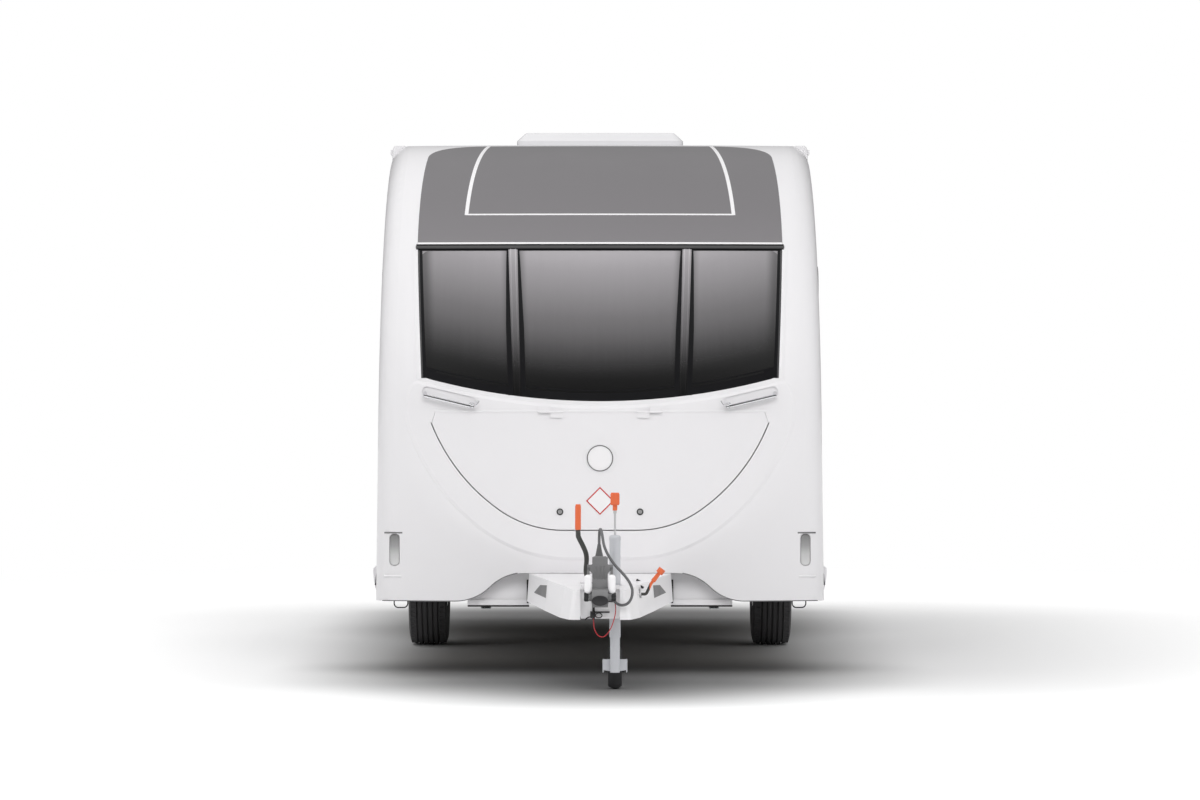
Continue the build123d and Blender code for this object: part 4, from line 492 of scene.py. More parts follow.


# the ribs take the panes' painted reflection, a third lighter as a painted highlight along them
ribReflectionAndHighlight = tuple((share, tone * 1.35 + 0.004) for share, tone in frontGlass["toneAndPaintedLight"])
# the side windows' dark tint with a weaker painted reflection, paler towards the top
sideGlass = {"footZ": 1.4, "footBow": 0.0, "rise": 0.7, "toneAndPaintedLight": ((0.0, 0.006), (0.5, 0.016), (1.0, 0.04))}
# the grey band's tone is painted shade, darker towards the top
bandShadeRamp = {"footZ": 2.1, "footBow": 0.0, "rise": 0.54, "toneAndPaintedLight": ((0.0, 0.2), (0.35, 0.174), (1.0, 0.134))}
markerLens = {"footZ": 0.545, "rise": 0.155, "rough": (0.12, 0.2),
              "tones": ((0.0, 0.62), (0.35, 0.5), (0.62, 0.3), (0.9, 0.2), (1.0, 0.12))}
darkRod = (((0.035, 0.035, 0.033), (0.05, 0.05, 0.047)), (0.35, 0.5))
paleRod = (((0.45, 0.45, 0.46), (0.55, 0.55, 0.56)), (0.25, 0.35))
grip = looks["orangeGrip"]
finishes.update({
    "frontAcrylic": acrylicFinish("frontAcrylic", frontGlass, beside=True),
    "pillarAcrylic": acrylicFinish("pillarAcrylic", frontGlass),
    "ribAcrylic": acrylicFinish("ribAcrylic", {**frontGlass, "toneAndPaintedLight": ribReflectionAndHighlight}),
    "sideAcrylic": acrylicFinish("sideAcrylic", sideGlass),
    "bandPaintedShade": acrylicFinish("bandPaintedShade", bandShadeRamp, 0.4, 0.05),
    "markerClear": markerFinish("markerClear", markerLens),
    "brakeLever": splitFinish("brakeLever", darkRod, grip, "Z", 0.748),
    "crankKnob": splitFinish("crankKnob", paleRod, grip, "Z", 0.843),
    "clampKnob": splitFinish("clampKnob", darkRod, grip, "X", 0.232),
})
print("stage 2: finishes made,", len(finishes))

nodeFinishes = {
    "frontGel": "front_panel gas_locker_lid",
    "gelCoat": "rear_panel roof lid_hinge rear_bumper gas_locker_box awning_rails",
    "coverWhite": "drawbar_cover",
    "wallPaint": "side_wall_left side_wall_right entry_door battery_hatch cassette_hatch",
    "skirtPlastic": "side_skirts",
    "pillarAcrylic": "window_surround",
    "blackTrim": "wheel_boxes cable_brackets steady_brackets",
    "plugGrey": "towing_plug",
    "leverGrey": "stabiliser_lever coupling_head",
    "zincTube": "jockey_tube jockey_fork",
    "paleTrim": "wall_hinges",
    "boxGrey": "hatch_boxes",
    "sealedBoard": "floor",
    "frontAcrylic": "front_windows",
    "sideAcrylic": "side_windows rear_window door_window",
    "domeAcrylic": "rooflights",
    "galvanised": "chassis drawbar axle_tube swing_arms "
                  "steady_front_left steady_front_right steady_rear_left steady_rear_right",
    "castGrey": "overrun",
    "softRubber": "jockey_wheel",
    "tyreRubber": "tyre_left tyre_right",
    "alloySilver": "rim_left rim_right",
    "brightSteel": "grab_handles jockey_clamp",
    "markerClear": "marker_lamps",
    "lampRed": "rear_lamps",
    "brakeLever": "handbrake",
    "crankKnob": "jockey_crank",
    "clampKnob": "clamp_handle",
    "cableGrey": "towing_cable",
    "cordRed": "breakaway_cable",
}
for finish, names in nodeFinishes.items():
    for name in names.split():
        nodes[name].data.materials.clear()
        nodes[name].data.materials.append(finishes[finish])
bare = set(nodes) - set(" ".join(nodeFinishes.values()).split())
print("stage 3: solids dressed, without a finish:", sorted(bare))


def cordCurve(name, route, radius, finish):
    # one smooth spline with a round section; its control points are the route's, in millimetres
    curve = bpy.data.curves.new(name, "CURVE")
    curve.dimensions = "3D"
    curve.bevel_depth = radius
    curve.bevel_resolution = 6
    curve.use_fill_caps = True
    curve.resolution_u = 16
    spline = curve.splines.new("NURBS")
    spline.points.add(len(route) - 1)
    for point, (x, y, z) in zip(spline.points, route):
        point.co = (x / 1000, y / 1000, z / 1000, 1)
    spline.order_u = 3
    spline.use_endpoint_u = True
    spline.resolution_u = 16
    piece = placed(name, curve)
    curve.materials.append(finishes[finish])
    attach(piece, "root")
    return piece


towingRoute = (
    (56, -2830, 441), (66, -2880, 424), (96, -2920, 408), (130, -2938, 417), (150, -2946, 452), (150, -2948, 496),
    (116, -2954, 550), (60, -2960, 606), (20, -2958, 676), (11, -2950, 731), (6, -2921, 761), (-1, -2880, 762),
    (-4, -2850, 732), (-4, -2850, 690),
)
breakawayRoute = (
    (68, -2830, 426), (71, -2858, 412), (74, -2888, 386), (67, -2906, 348), (50, -2914, 300), (22, -2914, 262),
    (-8, -2911, 265), (-28, -2898, 300), (-30, -2864, 336), (-30, -2830, 350),
)
towingCable = cordCurve("towingCable", towingRoute, 0.0065, "cableGrey")
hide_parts("towing_cable")
breakawayCable = cordCurve("breakawayCable", breakawayRoute, 0.0022, "cordRed")
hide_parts("breakaway_cable")
print("stage 4: cords laid")

# Graphics and trim on the bowed front.
band = {
    "footZ": 2.1, "halfWidth": 0.898, "taper": 0.046,           # half width shrinks with the square of the rise
    "cornerUp": 0.778, "topUp": 1.0535, "topHalf": 0.57,        # rises measured from the brow
    "lift": 0.0008,
}


def bandHalf(rise):
    # a slow taper, then an elliptic corner that runs into the top edge
    corner = (band["halfWidth"] - band["taper"] * band["cornerUp"] ** 2) - band["topHalf"]
    over = np.clip((rise - band["cornerUp"]) / (band["topUp"] - band["cornerUp"]), 0, 1)
    return np.where(rise < band["cornerUp"], band["halfWidth"] - band["taper"] * rise ** 2,
                    band["topHalf"] + corner * np.sqrt(1 - over ** 2))


cornerSteps = np.sin(np.linspace(0.05, 1, 22) * np.pi / 2)
bandRise = np.concatenate([np.linspace(upFront(band["footZ"]) - glassRise, band["cornerUp"], 26),
                           band["cornerUp"] + (band["topUp"] - band["cornerUp"]) * cornerSteps])
bandX, bandUp = bandHalf(bandRise)[:, None] * np.linspace(-1, 1, 41), glassRise + bandRise[:, None]
makePiece("upperBand", [slab(frontSkin(bandX, bandUp, band["lift"]), frontSkin(bandX, bandUp, -sunk))],
          "bandPaintedShade")

# a white line up each side of the band and one across its foot
frameLine = {"footRise": 0.2297, "footHalf": 0.66, "overlap": 0.004, "lean": 0.0541, "curve": 0.0736,
             "upright": {"width": 0.018, "lift": 0.0014}, "foot": {"width": 0.01, "lift": 0.0015}}
over = np.linspace(-frameLine["overlap"], band["topUp"] - frameLine["footRise"], 30)
lineX = frameLine["footHalf"] - frameLine["lean"] * over - frameLine["curve"] * over ** 2
footUp = glassRise + frameLine["footRise"]
lines = [skinStrip(side * lineX, footUp + over, **frameLine["upright"]) for side in sides]
lines.append(skinStrip(frameLine["footHalf"] * np.linspace(-1, 1, 33), footUp, **frameLine["foot"]))
makePiece("bandFrameLine", lines, "stripeWhite")

stripe = {"z": 2.118, "width": 0.0115, "lift": 0.0016}
rail = {"z": 2.099, "width": 0.018, "lift": 0.003, "crown": 0.002, "columns": 9}
across = np.linspace(-1, 1, 41)
makePiece("browStripe", [stripAt(across * 0.897, **stripe)], "stripeWhite")
makePiece("browRail", [stripAt(across * 0.906, **rail)], "railGrey")

panes = {"topZ": 2.083, "footZ": 1.361, "sideFootZ": 1.477, "sideTop": 0.888, "sideFoot": 0.862}


def paneFoot(x):
    # the lower edge of the glass rises with the square of x
    return panes["footZ"] + (panes["sideFootZ"] - panes["footZ"]) * (np.asarray(x) / panes["sideFoot"]) ** 2


def paneSide(z):
    # the outer edge of the glass leans outwards going up
    share = (np.asarray(z) - panes["sideFootZ"]) / (panes["topZ"] - panes["sideFootZ"])
    return panes["sideFoot"] + (panes["sideTop"] - panes["sideFoot"]) * share


pillar = {"foot": 0.4015, "lean": 0.036, "width": (0.036, 0.044), "topZ": 2.087, "overlap": 0.012, "ribGap": 0.0115}
rib = {"width": 0.0065, "lift": 0.003, "crown": 0.0022, "columns": 7}
# dark seal beside the pillars and the outer edges: its widths at shares of the height, or at heights
pillarSeal = {"at": (0, 0.45, 0.9, 1), "width": (0.025, 0.024, 0.013, 0.0091), "lift": 0.0012}
sideSeal = {"at": (1.47, 1.6, 2.08), "width": (0.0315, 0.0252, 0.021), "inset": 0.004, "lift": 0.0009}
paneEdge = {"width": 0.009, "lift": 0.0016}
lip = {"width": 0.029, "lift": 0.0004, "crown": 0.0026, "columns": 9}
outwards = {"edge": 0.0035, "lip": 0.019}       # how far outside the glass their middles run
pillarStrips, ribs, borders, lips, edges = [], [], [], [], []
for side in sides:
    z = np.linspace(paneFoot(pillar["foot"]) - pillar["overlap"], pillar["topZ"], 48)
    share = (z - z[0]) / (z[-1] - z[0])
    middle = pillar["foot"] + pillar["lean"] * (z - z[0])
    width = np.interp(share, (0, 1), pillar["width"])
    fat = np.interp(share, pillarSeal["at"], pillarSeal["width"])
    pillarStrips.append(stripAt(side * middle, z, width, 0.0016, crown=0.002, columns=9))
    for way in sides:
        ribs.append(stripAt(side * middle + way * pillar["ribGap"], z, **rib))
        borders.append(stripAt(side * (middle + way * (width + fat) / 2), z, fat, pillarSeal["lift"]))
    z = np.linspace(panes["sideFootZ"] - 0.02, panes["topZ"], 44)
    narrow = np.interp(z, sideSeal["at"], sideSeal["width"])
    borders.append(stripAt(side * (paneSide(z) - sideSeal["inset"]), z, narrow, sideSeal["lift"]))
    edges.append(stripAt(side * (paneSide(z) + outwards["edge"]), z, **paneEdge))
    z = np.linspace(panes["sideFootZ"] - 0.024, panes["topZ"] + 0.009, 46)
    lips.append(stripAt(side * (paneSide(z) + outwards["lip"]), z, **lip))
# dark bands along the foot, as from and to in x, rise over the panes' foot, width and lift; the two short ones
# square off the outer ends
for start, end, rise, width, lift in ((-0.886, 0.886, 0.004, 0.038, 0.0007), (-0.845, 0.845, 0.036, 0.006, 0.0016),
                                      (-0.8, -0.866, 0.012, 0.05, 0.0006), (0.8, 0.866, 0.012, 0.05, 0.0006)):
    x = np.linspace(start, end, 90 if start * end < 0 else 12)
    borders.append(stripAt(x, paneFoot(x) + rise, width, lift))
# level lines along the top, as half span, height, width and lift
for half, z, width, lift in ((0.905, 2.0855, 0.011, 0.0011), (0.904095, 2.0885, 0.0045, 0.0048),
                             (0.904095, 2.1095, 0.0045, 0.0048)):
    borders.append(stripAt(np.linspace(-half, half, 60), z, width, lift))
z = np.linspace(2.0, 2.0885, 12)                # and its two square corners
borders += [stripAt(side * (paneSide(z) - sideSeal["inset"]), z, 0.014, 0.0006) for side in sides]
makePiece("paneEdges", edges, "railGrey")
makePiece("pillarStrips", pillarStrips, "pillarAcrylic")
makePiece("pillarRibs", ribs, "ribAcrylic")
makePiece("paneBorders", borders, "sealBlack")
makePiece("windowLips", lips, "frontGel")

# the soft white seal along the lid's hinge edge stays with the body
hingeSeal = {"z": 1.2975, "width": 0.0125, "half": 0.806, "lift": 0.0078, "crown": 0.0012, "under": 0.0062}
sealX = np.linspace(-hingeSeal["half"], hingeSeal["half"], 80)[:, None]
sealShare = np.linspace(-0.5, 0.5, 5)[None]
sealUp = upFront(hingeSeal["z"]) + sealShare * hingeSeal["width"]
sealLift = hingeSeal["lift"] + hingeSeal["crown"] * np.cos(sealShare * np.pi) * np.ones_like(sealX)
sealUnder = np.full_like(sealLift, hingeSeal["under"])
makePiece("lidHingeSeal", [slab(frontSkin(sealX, sealUp, sealLift), frontSkin(sealX, sealUp, sealUnder))],
          "frontGel")

# badge disc, sign and locks on the locker lid
lidFace = body["noseY"] - body["shield"]
badge = {"z": 1.069, "radius": 0.064, "ring": 0.005, "out": 0.0025, "base": 0.084, "rise": 0.0028}
discR, discOut, badgeSpot = badge["radius"] - badge["ring"], badge["out"], (0, lidFace - badge["rise"], badge["z"])
disc = [(0, -0.002), (discR, -0.002), (discR, discOut), (discR * 0.8, discOut + 0.0015),
        (discR * 0.4, discOut + 0.0035), (0, discOut + 0.004)]
makePiece("badgeDisc", [turned(disc, badgeSpot, forward, 72)], "stripeWhite", "gas_lid")
# the lid swells softly round the badge
step = np.linspace(0, 1, 12)
swell = np.stack([badge["base"] * (1 - 0.25 * step), badge["rise"] * (3 * step ** 2 - 2 * step ** 3) - 0.0002], 1)
makePiece("badgeBase", [turned([*swell, (0, badge["rise"])], (0, lidFace, badge["z"]), forward, 72)],
          "gelCoat", "gas_lid")
ringTurn = fullTurn(16)
ring = np.stack([badge["radius"] - badge["ring"] / 2 + badge["ring"] / 2 * np.cos(ringTurn),
                 0.002 + 0.004 * np.sin(ringTurn)], 1)
makePiece("badgeRing", [turned([*ring, ring[0]], badgeSpot, forward, 72)], "ringSteel", "gas_lid")

signPlate = {"z": 0.862, "half": 0.068, "rim": 0.008, "proud": 0.0016, "faceProud": 0.0022}
diamond = np.array([(1, 0), (0, 1), (-1, 0), (0, -1)], float)
signRim = plate(diamond * signPlate["half"], (0, lidFace + 0.0005, signPlate["z"]), facingFront, signPlate["proud"])
signFace = plate(diamond * (signPlate["half"] - signPlate["rim"]), (0, lidFace, signPlate["z"]), facingFront,
                 signPlate["faceProud"])
makePiece("signRim", [signRim], "signRed", "gas_lid", smooth=0)
makePiece("signFace", [signFace], "stripeWhite", "gas_lid", smooth=0)

lidLocks = {"x": 0.194, "z": 0.809, "radius": 0.0165, "proud": 0.006, "rough": (0.35, 0.45),
            "rings": ((0.0, 0.3), (0.42, 0.36), (0.6, 0.3), (0.72, 0.03), (0.9, 0.04), (1.0, 0.1))}
finishes["lockDark"] = ringedFinish("lockDark", lidLocks)
# shares of the radius and of how far a lock stands proud; a raised bar crosses its middle
lockSection = np.array([(0, -0.5), (1, -0.5), (1, 0.5), (0.9, 0.8), (0.78, 0.8), (0.72, 0.35), (0.6, 0.35),
                        (0.55, 1), (0, 1)]) * (lidLocks["radius"], lidLocks["proud"])
lockShapes = []
for side in sides:
    spot = frontSkin(side * lidLocks["x"], upFront(lidLocks["z"]), body["shield"])
    lockShapes.append(turned(lockSection, spot, forward, 40))
    lockShapes.append(plate(roundedBox(0.003, 0.014, 0.001, 3), spot - (0, lidLocks["proud"], 0), facingFront, 0.001))
makePiece("lidLocks", lockShapes, "lockDark", "gas_lid")

# a filler carried by the lid closes the short seam above each of its shoulders
filler = {"width": 0.0052, "lift": body["shield"] + 0.0003}
x, z = np.linspace(0.8195, 0.803, 12), np.linspace(1.241, 1.293, 12)
makePiece("seamFillers", [stripAt(side * x, z, **filler) for side in sides], "frontGel", "gas_lid")

# Roof edge mouldings: the section fills the rounded edge out to a nearly square corner, and its inside is buried.
roofEdge = {
    "from": -0.6, "full": -0.54, "on": -0.4, "to": 2.8, "least": 0.86,      # grows to its full section as it starts
    "centre": (1.0055, 2.58), "radius": 0.0595, "buried": 0.024, "deep": 0.036,
}
edgeOuter = np.array([(1.0665, 2.583), (1.0668, 2.606), (1.0635, 2.624), (1.0585, 2.6365), (1.0525, 2.6425),
                      (1.044, 2.6435), (1.02, 2.643), (1.0, 2.6422)])
edgeTurn = np.linspace(0, np.pi / 2, len(edgeOuter))
edgeInner = roofEdge["centre"] + roofEdge["radius"] * np.stack([np.cos(edgeTurn), np.sin(edgeTurn)], 1)
edgeY = np.concatenate([np.linspace(roofEdge["from"], roofEdge["full"], 10),
                        np.linspace(roofEdge["on"], roofEdge["to"], 16)])
start = np.clip((roofEdge["full"] - edgeY) / (roofEdge["full"] - roofEdge["from"]), 0, 1)
grown = (roofEdge["least"] + (1 - roofEdge["least"]) * np.sqrt(1 - start ** 2))[:, None, None]
buried = edgeInner - roofEdge["buried"]
outline = buried + (edgeOuter - buried) * grown
deep = np.broadcast_to(edgeInner - roofEdge["deep"], outline.shape)
edgeAlong = np.broadcast_to(edgeY[:, None], outline.shape[:2])
edgeShapes = [slab(*(np.stack([side * part[..., 0], edgeAlong, part[..., 1]], -1) for part in (outline, deep)))
              for side in sides]
makePiece("roofEdges", edgeShapes, "wallPaint", smooth=50)

# a dark strip over each marker lamp, a painted shadow under the top of its recess, and the ledge below it
markerShadow = {"z": 0.7045, "width": 0.007, "lift": 0.0006, "crown": 0.0008}
ledge = {"width": 0.012, "lift": 0.0002, "crown": 0.0035, "columns": 9}
x = np.linspace(0.962, 1.05, 14)
makePiece("markerShadowStrips", [stripAt(side * x, **markerShadow) for side in sides], "shadowGrey")
x = np.linspace(0.968, 1.05, 14)
z = 0.492 + 0.012 * (x - x[0])                  # it rises a little outwards
makePiece("markerLedges", [stripAt(side * x, z, **ledge) for side in sides], "frontGel")


def onNode(node, corners, steps, lift):
    # a sheet between four corners that lie on a solid: each point is the corners' mean, weighted by its two shares
    a, b, c, d = (np.array([x, hitOn(node, x, z), z]) for x, z in corners)
    share = np.linspace(0, 1, steps)
    down, along = share[:, None, None], share[None, :, None]
    sheet = (a * (1 - down) + b * down) * (1 - along) + (d * (1 - down) + c * down) * along
    return slab(sheet - (0, lift, 0), sheet + (0, lift, 0))


# dark grey sheets on the cover's flanks, painted shade where its recesses are
recessShade = np.array([(0.318, 0.426), (0.286, 0.471), (0.2515, 0.479), (0.2565, 0.419)])
makePiece("coverRecessShades", [onNode(nodes["drawbar_cover"], recessShade * (side, 1), 6, 0.003) for side in sides],
          "leverGrey")

# a white bulkhead closes the cover's nose round the overrun housing: four rings, each on a box
bulkhead = {"hole": (0.0405, 0.034, 0.447), "rim": (0.0923, 0.078, 0.4215),     # half width, half height, middle
            "y": (-2.8275, -2.8245)}
around = (np.arange(48) + 0.5) * 2 * np.pi / 48
way = np.stack([np.cos(around), np.sin(around)], 1)


def boxRing(box, y):
    # where rays from the middle meet a box
    reach = np.min(np.asarray(box[:2]) / np.maximum(np.abs(way), 1e-6), axis=1)[:, None]
    flat = way * reach + (0, box[2])
    return np.stack([flat[:, 0], np.full(len(way), y), flat[:, 1]], 1)


front, back = bulkhead["y"]
rings = [boxRing(bulkhead[key], y) for key, y in (("hole", front), ("rim", front), ("rim", back), ("hole", back))]
makePiece("noseBulkhead", [(np.concatenate(rings), [gridFaces(4, len(way), closeRows=True, closeColumns=True)])],
          "coverWhite")

# the coupling's white cheeks, the knobs of its friction pads and the hook under the cover's nose
cheek = {"size": (0.034, 0.086), "corner": 0.015, "x": 0.0545, "z": 0.519, "y": -3.118, "depth": 0.04, "edge": 0.014}
cheeks = [plate(roundedBox(*cheek["size"], cheek["corner"], 8, (side * cheek["x"], cheek["z"])), (0, cheek["y"], 0),
                facingFront, cheek["depth"], cheek["edge"], 7) for side in sides]
makePiece("couplingCheeks", cheeks, "coverWhite")
knob = [(0, -0.002), (0.0205, -0.002), (0.0215, 0.004), (0.0215, 0.014), (0.018, 0.019), (0, 0.019)]
knobs = [turned(knob, (side * cheek["x"], -3.13, 0.46), (side, 0, 0), 32) for side in sides]
makePiece("padKnobs", knobs, "blackTrim")


def frontBox(width, height, corner, arc, middle, y, depth, edge=0.002, steps=3):
    # a rounded block that faces forwards, its middle given as x and z
    return plate(roundedBox(width, height, corner, arc, middle), (0, y, 0), facingFront, depth, edge, steps)


hook = {"ring": (-0.006, 0.359), "ringSize": (0.0155, 0.0105), "ringY": -2.845, "wire": 0.0024,
        "tail": (-0.046, 0.352), "tailRun": (-0.024, -0.014), "tailY": -2.842, "tailWire": 0.003}
turn = fullTurn(40)
ring = np.stack([hook["ring"][0] + hook["ringSize"][0] * np.cos(turn), np.full(40, hook["ringY"]),
                 hook["ring"][1] + hook["ringSize"][1] * np.sin(turn)], 1)
run = np.linspace(0, 1, 16)
tail = np.stack([hook["tail"][0] + hook["tailRun"][0] * run, np.full(16, hook["tailY"]),
                 hook["tail"][1] + hook["tailRun"][1] * run ** 2], 1)
makePiece("noseHook", [
    frontBox(0.09, 0.007, 0.002, 3, (0.0, 0.3745), -2.834, 0.02),
    frontBox(0.024, 0.026, 0.004, 4, (-0.034, 0.36), -2.836, 0.014),
    tube(np.concatenate([ring, ring[:2]]), hook["wire"], 10), tube(tail, hook["tailWire"], 10)],
    "blackTrim")

# the handbrake: a thick cranked rod with a moulded grip, its middle line bent in an S
brake = {"y": -2.6, "radius": 0.0085, "thicker": 0.003, "thickenZ": (0.5, 0.6), "grip": 0.0025,
         "gripZ": (0.745, 0.749), "endZ": 0.8655, "endShare": 0.8}
brakeLine = np.array([(-0.030, 0.478), (-0.052, 0.508), (-0.067, 0.548), (-0.063, 0.605), (-0.067, 0.64),
                      (-0.083, 0.678), (-0.098, 0.708), (-0.103, 0.735), (-0.103, 0.868)])
brakePath = smoothPath(np.insert(brakeLine, 1, brake["y"], axis=1), 90)
brakeZ = brakePath[:, 2]
brakeRadius = brake["radius"] + np.interp(brakeZ, brake["thickenZ"], (0, brake["thicker"]))
brakeRadius += np.interp(brakeZ, brake["gripZ"], (0, brake["grip"]))
brakeRadius *= np.where(brakeZ > brake["endZ"], brake["endShare"], 1.0)
lever = makePiece("brakeLever", [tube(brakePath, brakeRadius, 24)], "brakeLever")
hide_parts("handbrake")

# a domed cap closes the jockey wheel's tube round the rod, and a six-sided one covers the crank's head
tubeCap = [(0.011, 0.0), (0.0275, 0.0), (0.0275, 0.012), (0.026, 0.018), (0.022, 0.023), (0.014, 0.0255),
           (0.011, 0.0255), (0.011, 0.0)]
makePiece("tubeCap", [turned(tubeCap, (0.07, -2.72, 0.703), upright, 40)], "zincTube")
crankCap = [(0, 0.0), (0.0215, 0.0), (0.0245, 0.006), (0.0245, 0.05), (0.0205, 0.058), (0, 0.058)]
makePiece("crankCap", [turned(crankCap, (0.07, -2.72, 0.868), upright, 6)], "orangeGrip", smooth=0)

# the stabiliser lever's moulded cover: wide shoulders over a narrow ribbed stem
leverFront = hitOn(nodes["stabiliser_lever"], 0.0, 0.56)
leverSide = np.array([(0.031, 0.468), (0.034, 0.5), (0.035, 0.563), (0.0455, 0.573), (0.0465, 0.588), (0.044, 0.6),
                      (0.036, 0.608), (0.033, 0.636), (0.029, 0.643)])
coverOutline = np.concatenate([leverSide, leverSide[::-1] * (-1, 1)])
coverShapes = [plate(coverOutline, (0, leverFront + 0.002, 0), facingFront, 0.012, 0.005, 5)]
coverShapes += [frontBox(0.0085, 0.118, 0.004, 5, (x, 0.541), leverFront - 0.0095, 0.003, 0.0022, 4)
                for x in (-0.0235, -0.008, 0.008, 0.0235)]
makePiece("leverCover", coverShapes, "leverGrey")
guard = {"half": (0.0375, 0.0235), "z": 0.446, "y": hitOn(nodes["coupling_head"], 0.0, 0.45) + 0.001}
turn = fullTurn(48)
guardOutline = np.stack([np.cos(turn), np.sin(turn)], 1) * guard["half"] + (0, guard["z"])
makePiece("noseGuard", [plate(guardOutline, (0, guard["y"], 0), facingFront, 0.007, 0.005, 5)],
          "blackTrim")

# each grab handle's hooked inner end, and a dark line along its underside, a painted shadow under the bar
handle = {"y": -1.93, "lineX": (0.61, 0.852), "lineZ": (1.3185, 1.3755), "lineY": 0.006, "line": 0.0022,
          "bend": [(0.632, 0.01, 1.333), (0.612, 0.008, 1.325), (0.601, 0.012, 1.329), (0.588, 0.024, 1.346)],
          "bendRadius": (0.008, 0.0045)}
under = np.stack([np.linspace(*handle["lineX"], 24), np.full(24, handle["y"] + handle["lineY"]),
                  np.linspace(*handle["lineZ"], 24)], 1)
bend = smoothPath(np.array(handle["bend"]) + (0, handle["y"], 0), 20)
mirrored = [(side, 1, 1) for side in sides]
makePiece("handleHooks", [tube(bend * way, np.linspace(*handle["bendRadius"], 20), 14) for way in mirrored],
          "brightSteel")
makePiece("handleUnderShadows", [tube(under * way, handle["line"], 10) for way in mirrored], "handleShadow")

# under the front: the trays' edges beside the cover, and dark strips under and beside them, painted shade in the gaps
trayEdges = [frontBox(0.3, 0.028, 0.002, 3, (side * 0.495, 0.365), -1.795, 0.008) for side in sides]
makePiece("trayEdges", trayEdges, "gelCoat")
trayShadowLines = [frontBox(width, height, 0.002, 3, (side * x, z), y, 0.008) for side in sides
             for width, height, x, z, y in ((0.3, 0.008, 0.495, 0.347, -1.793), (0.01, 0.115, 0.352, 0.418, -1.796))]
makePiece("trayShadowLines", trayShadowLines, "blackTrim")

panelTree = BVHTree.FromObject(nodes["front_panel"], bpy.context.evaluated_depsgraph_get())


def lowestOn(x, low, high):
    # the height of the panel's lower edge, halving the gap between open and solid
    for _ in range(14):
        middle = (low + high) / 2
        solid = panelTree.ray_cast(Vector((x, -4.0, middle)), Vector((0, 1, 0)), 2.4)[0] is not None
        low, high = (low, middle) if solid else (middle, high)
    return high


# a dark strip just above the front panel's lower edge, a painted shadow along it
sill = {"width": 0.0045, "lift": 0.0006}
sillShadowLines = []
for side in sides:
    x = side * np.linspace(0.4, 1.06, 60)
    edge = np.array([lowestOn(value, 0.36, 0.62) for value in x])
    sillShadowLines.append(stripAt(x, edge + 0.0015, **sill))
makePiece("sillShadowLines", sillShadowLines, "shadowGrey")

# two dark blocks of the clamp on the cover, both turned by the same angle
block = {"at": ((0.181, 0.503), (0.195, 0.484)), "size": (0.021, 0.0105), "angle": 0.5, "sunk": 0.006, "depth": 0.024}
c, s = math.cos(block["angle"]), math.sin(block["angle"])
blockOutline = roundedBox(*block["size"], 0.002, 3) @ np.array([(c, -s), (s, c)])
blocks = [plate(blockOutline + spot, (0, hitOn(nodes["drawbar_cover"], *spot) + block["sunk"], 0), facingFront,
                block["depth"], 0.002, 3) for spot in block["at"]]
makePiece("clampBlocks", blocks, "blackTrim")


# Seals, lenses and reflectors on the other sides.
def wallAt(z):
    # the side walls lean inwards going up
    share = (z - body["footZ"]) / (body["roofZ"] - body["footZ"])
    return body["halfFoot"] - (body["halfFoot"] - body["halfRoof"]) * share


def pointsOf(node):
    # a solid's points as an array
    points = np.empty(3 * len(node.data.vertices))
    node.data.vertices.foreach_get("co", points)
    matrix = np.array(node.matrix_world)
    return points.reshape(-1, 3) @ matrix[:3, :3].T + matrix[:3, 3]


# side, middle along and up, length and height
sideWindows = ((1, -1.08, 1.72, 0.56, 0.56), (1, 0.52, 1.76, 0.76, 0.46), (1, 2.23, 1.72, 0.98, 0.56),
               (-1, -0.78, 1.72, 1.06, 0.56), (-1, 0.9, 1.76, 0.64, 0.44), (-1, 2.23, 1.72, 0.98, 0.56))
rubber = {"over": 0.012, "corner": 0.07, "radius": 0.0085, "proud": 0.0015, "tailSunk": 0.002}
rubbers = []
for side, y, z, length, height in sideWindows:
    loop = roundedBox(length + rubber["over"], height + rubber["over"], rubber["corner"], 10, (y, z))
    loop = np.concatenate([loop, loop[:2]])
    path = np.stack([side * (wallAt(loop[:, 1]) + rubber["proud"]), loop[:, 0], loop[:, 1]], 1)
    rubbers.append(tube(path, rubber["radius"], 10, (1, 0, 0)))
loop = roundedBox(1.512, 0.572, 0.074, 10, (0.0, 1.69))
loop = np.concatenate([loop, loop[:2]])
tailFace = pointsOf(nodes["rear_window"])[:, 1].max()
path = np.stack([loop[:, 0], np.full(len(loop), tailFace - rubber["tailSunk"]), loop[:, 1]], 1)
rubbers.append(tube(path, rubber["radius"], 10))
makePiece("windowRubbers", rubbers, "softRubber")

lampPoints = pointsOf(nodes["rear_lamps"])
lampBack = lampPoints[:, 1].max()
lampSide = lampPoints[lampPoints[:, 0] > 0]
(inner, _, low), (outer, _, high) = lampSide.min(0), lampSide.max(0)
lens = {"width": 0.24, "height": 0.78, "corner": 0.006, "sunk": 0.001, "depth": 0.005, "edge": 0.003}
for name, finish, share in (("rearAmberLenses", "lampAmber", 0.8), ("rearClearLenses", "lampClear", 0.22)):
    spots = [(-side * (inner + (outer - inner) * share), (high + low) / 2) for side in sides]
    outlines = [roundedBox((outer - inner) * lens["width"], (high - low) * lens["height"], lens["corner"], 5, spot)
                for spot in spots]
    makePiece(name, [plate(outline, (0, lampBack - lens["sunk"], 0), facingTail, lens["depth"], lens["edge"])
                     for outline in outlines], finish)

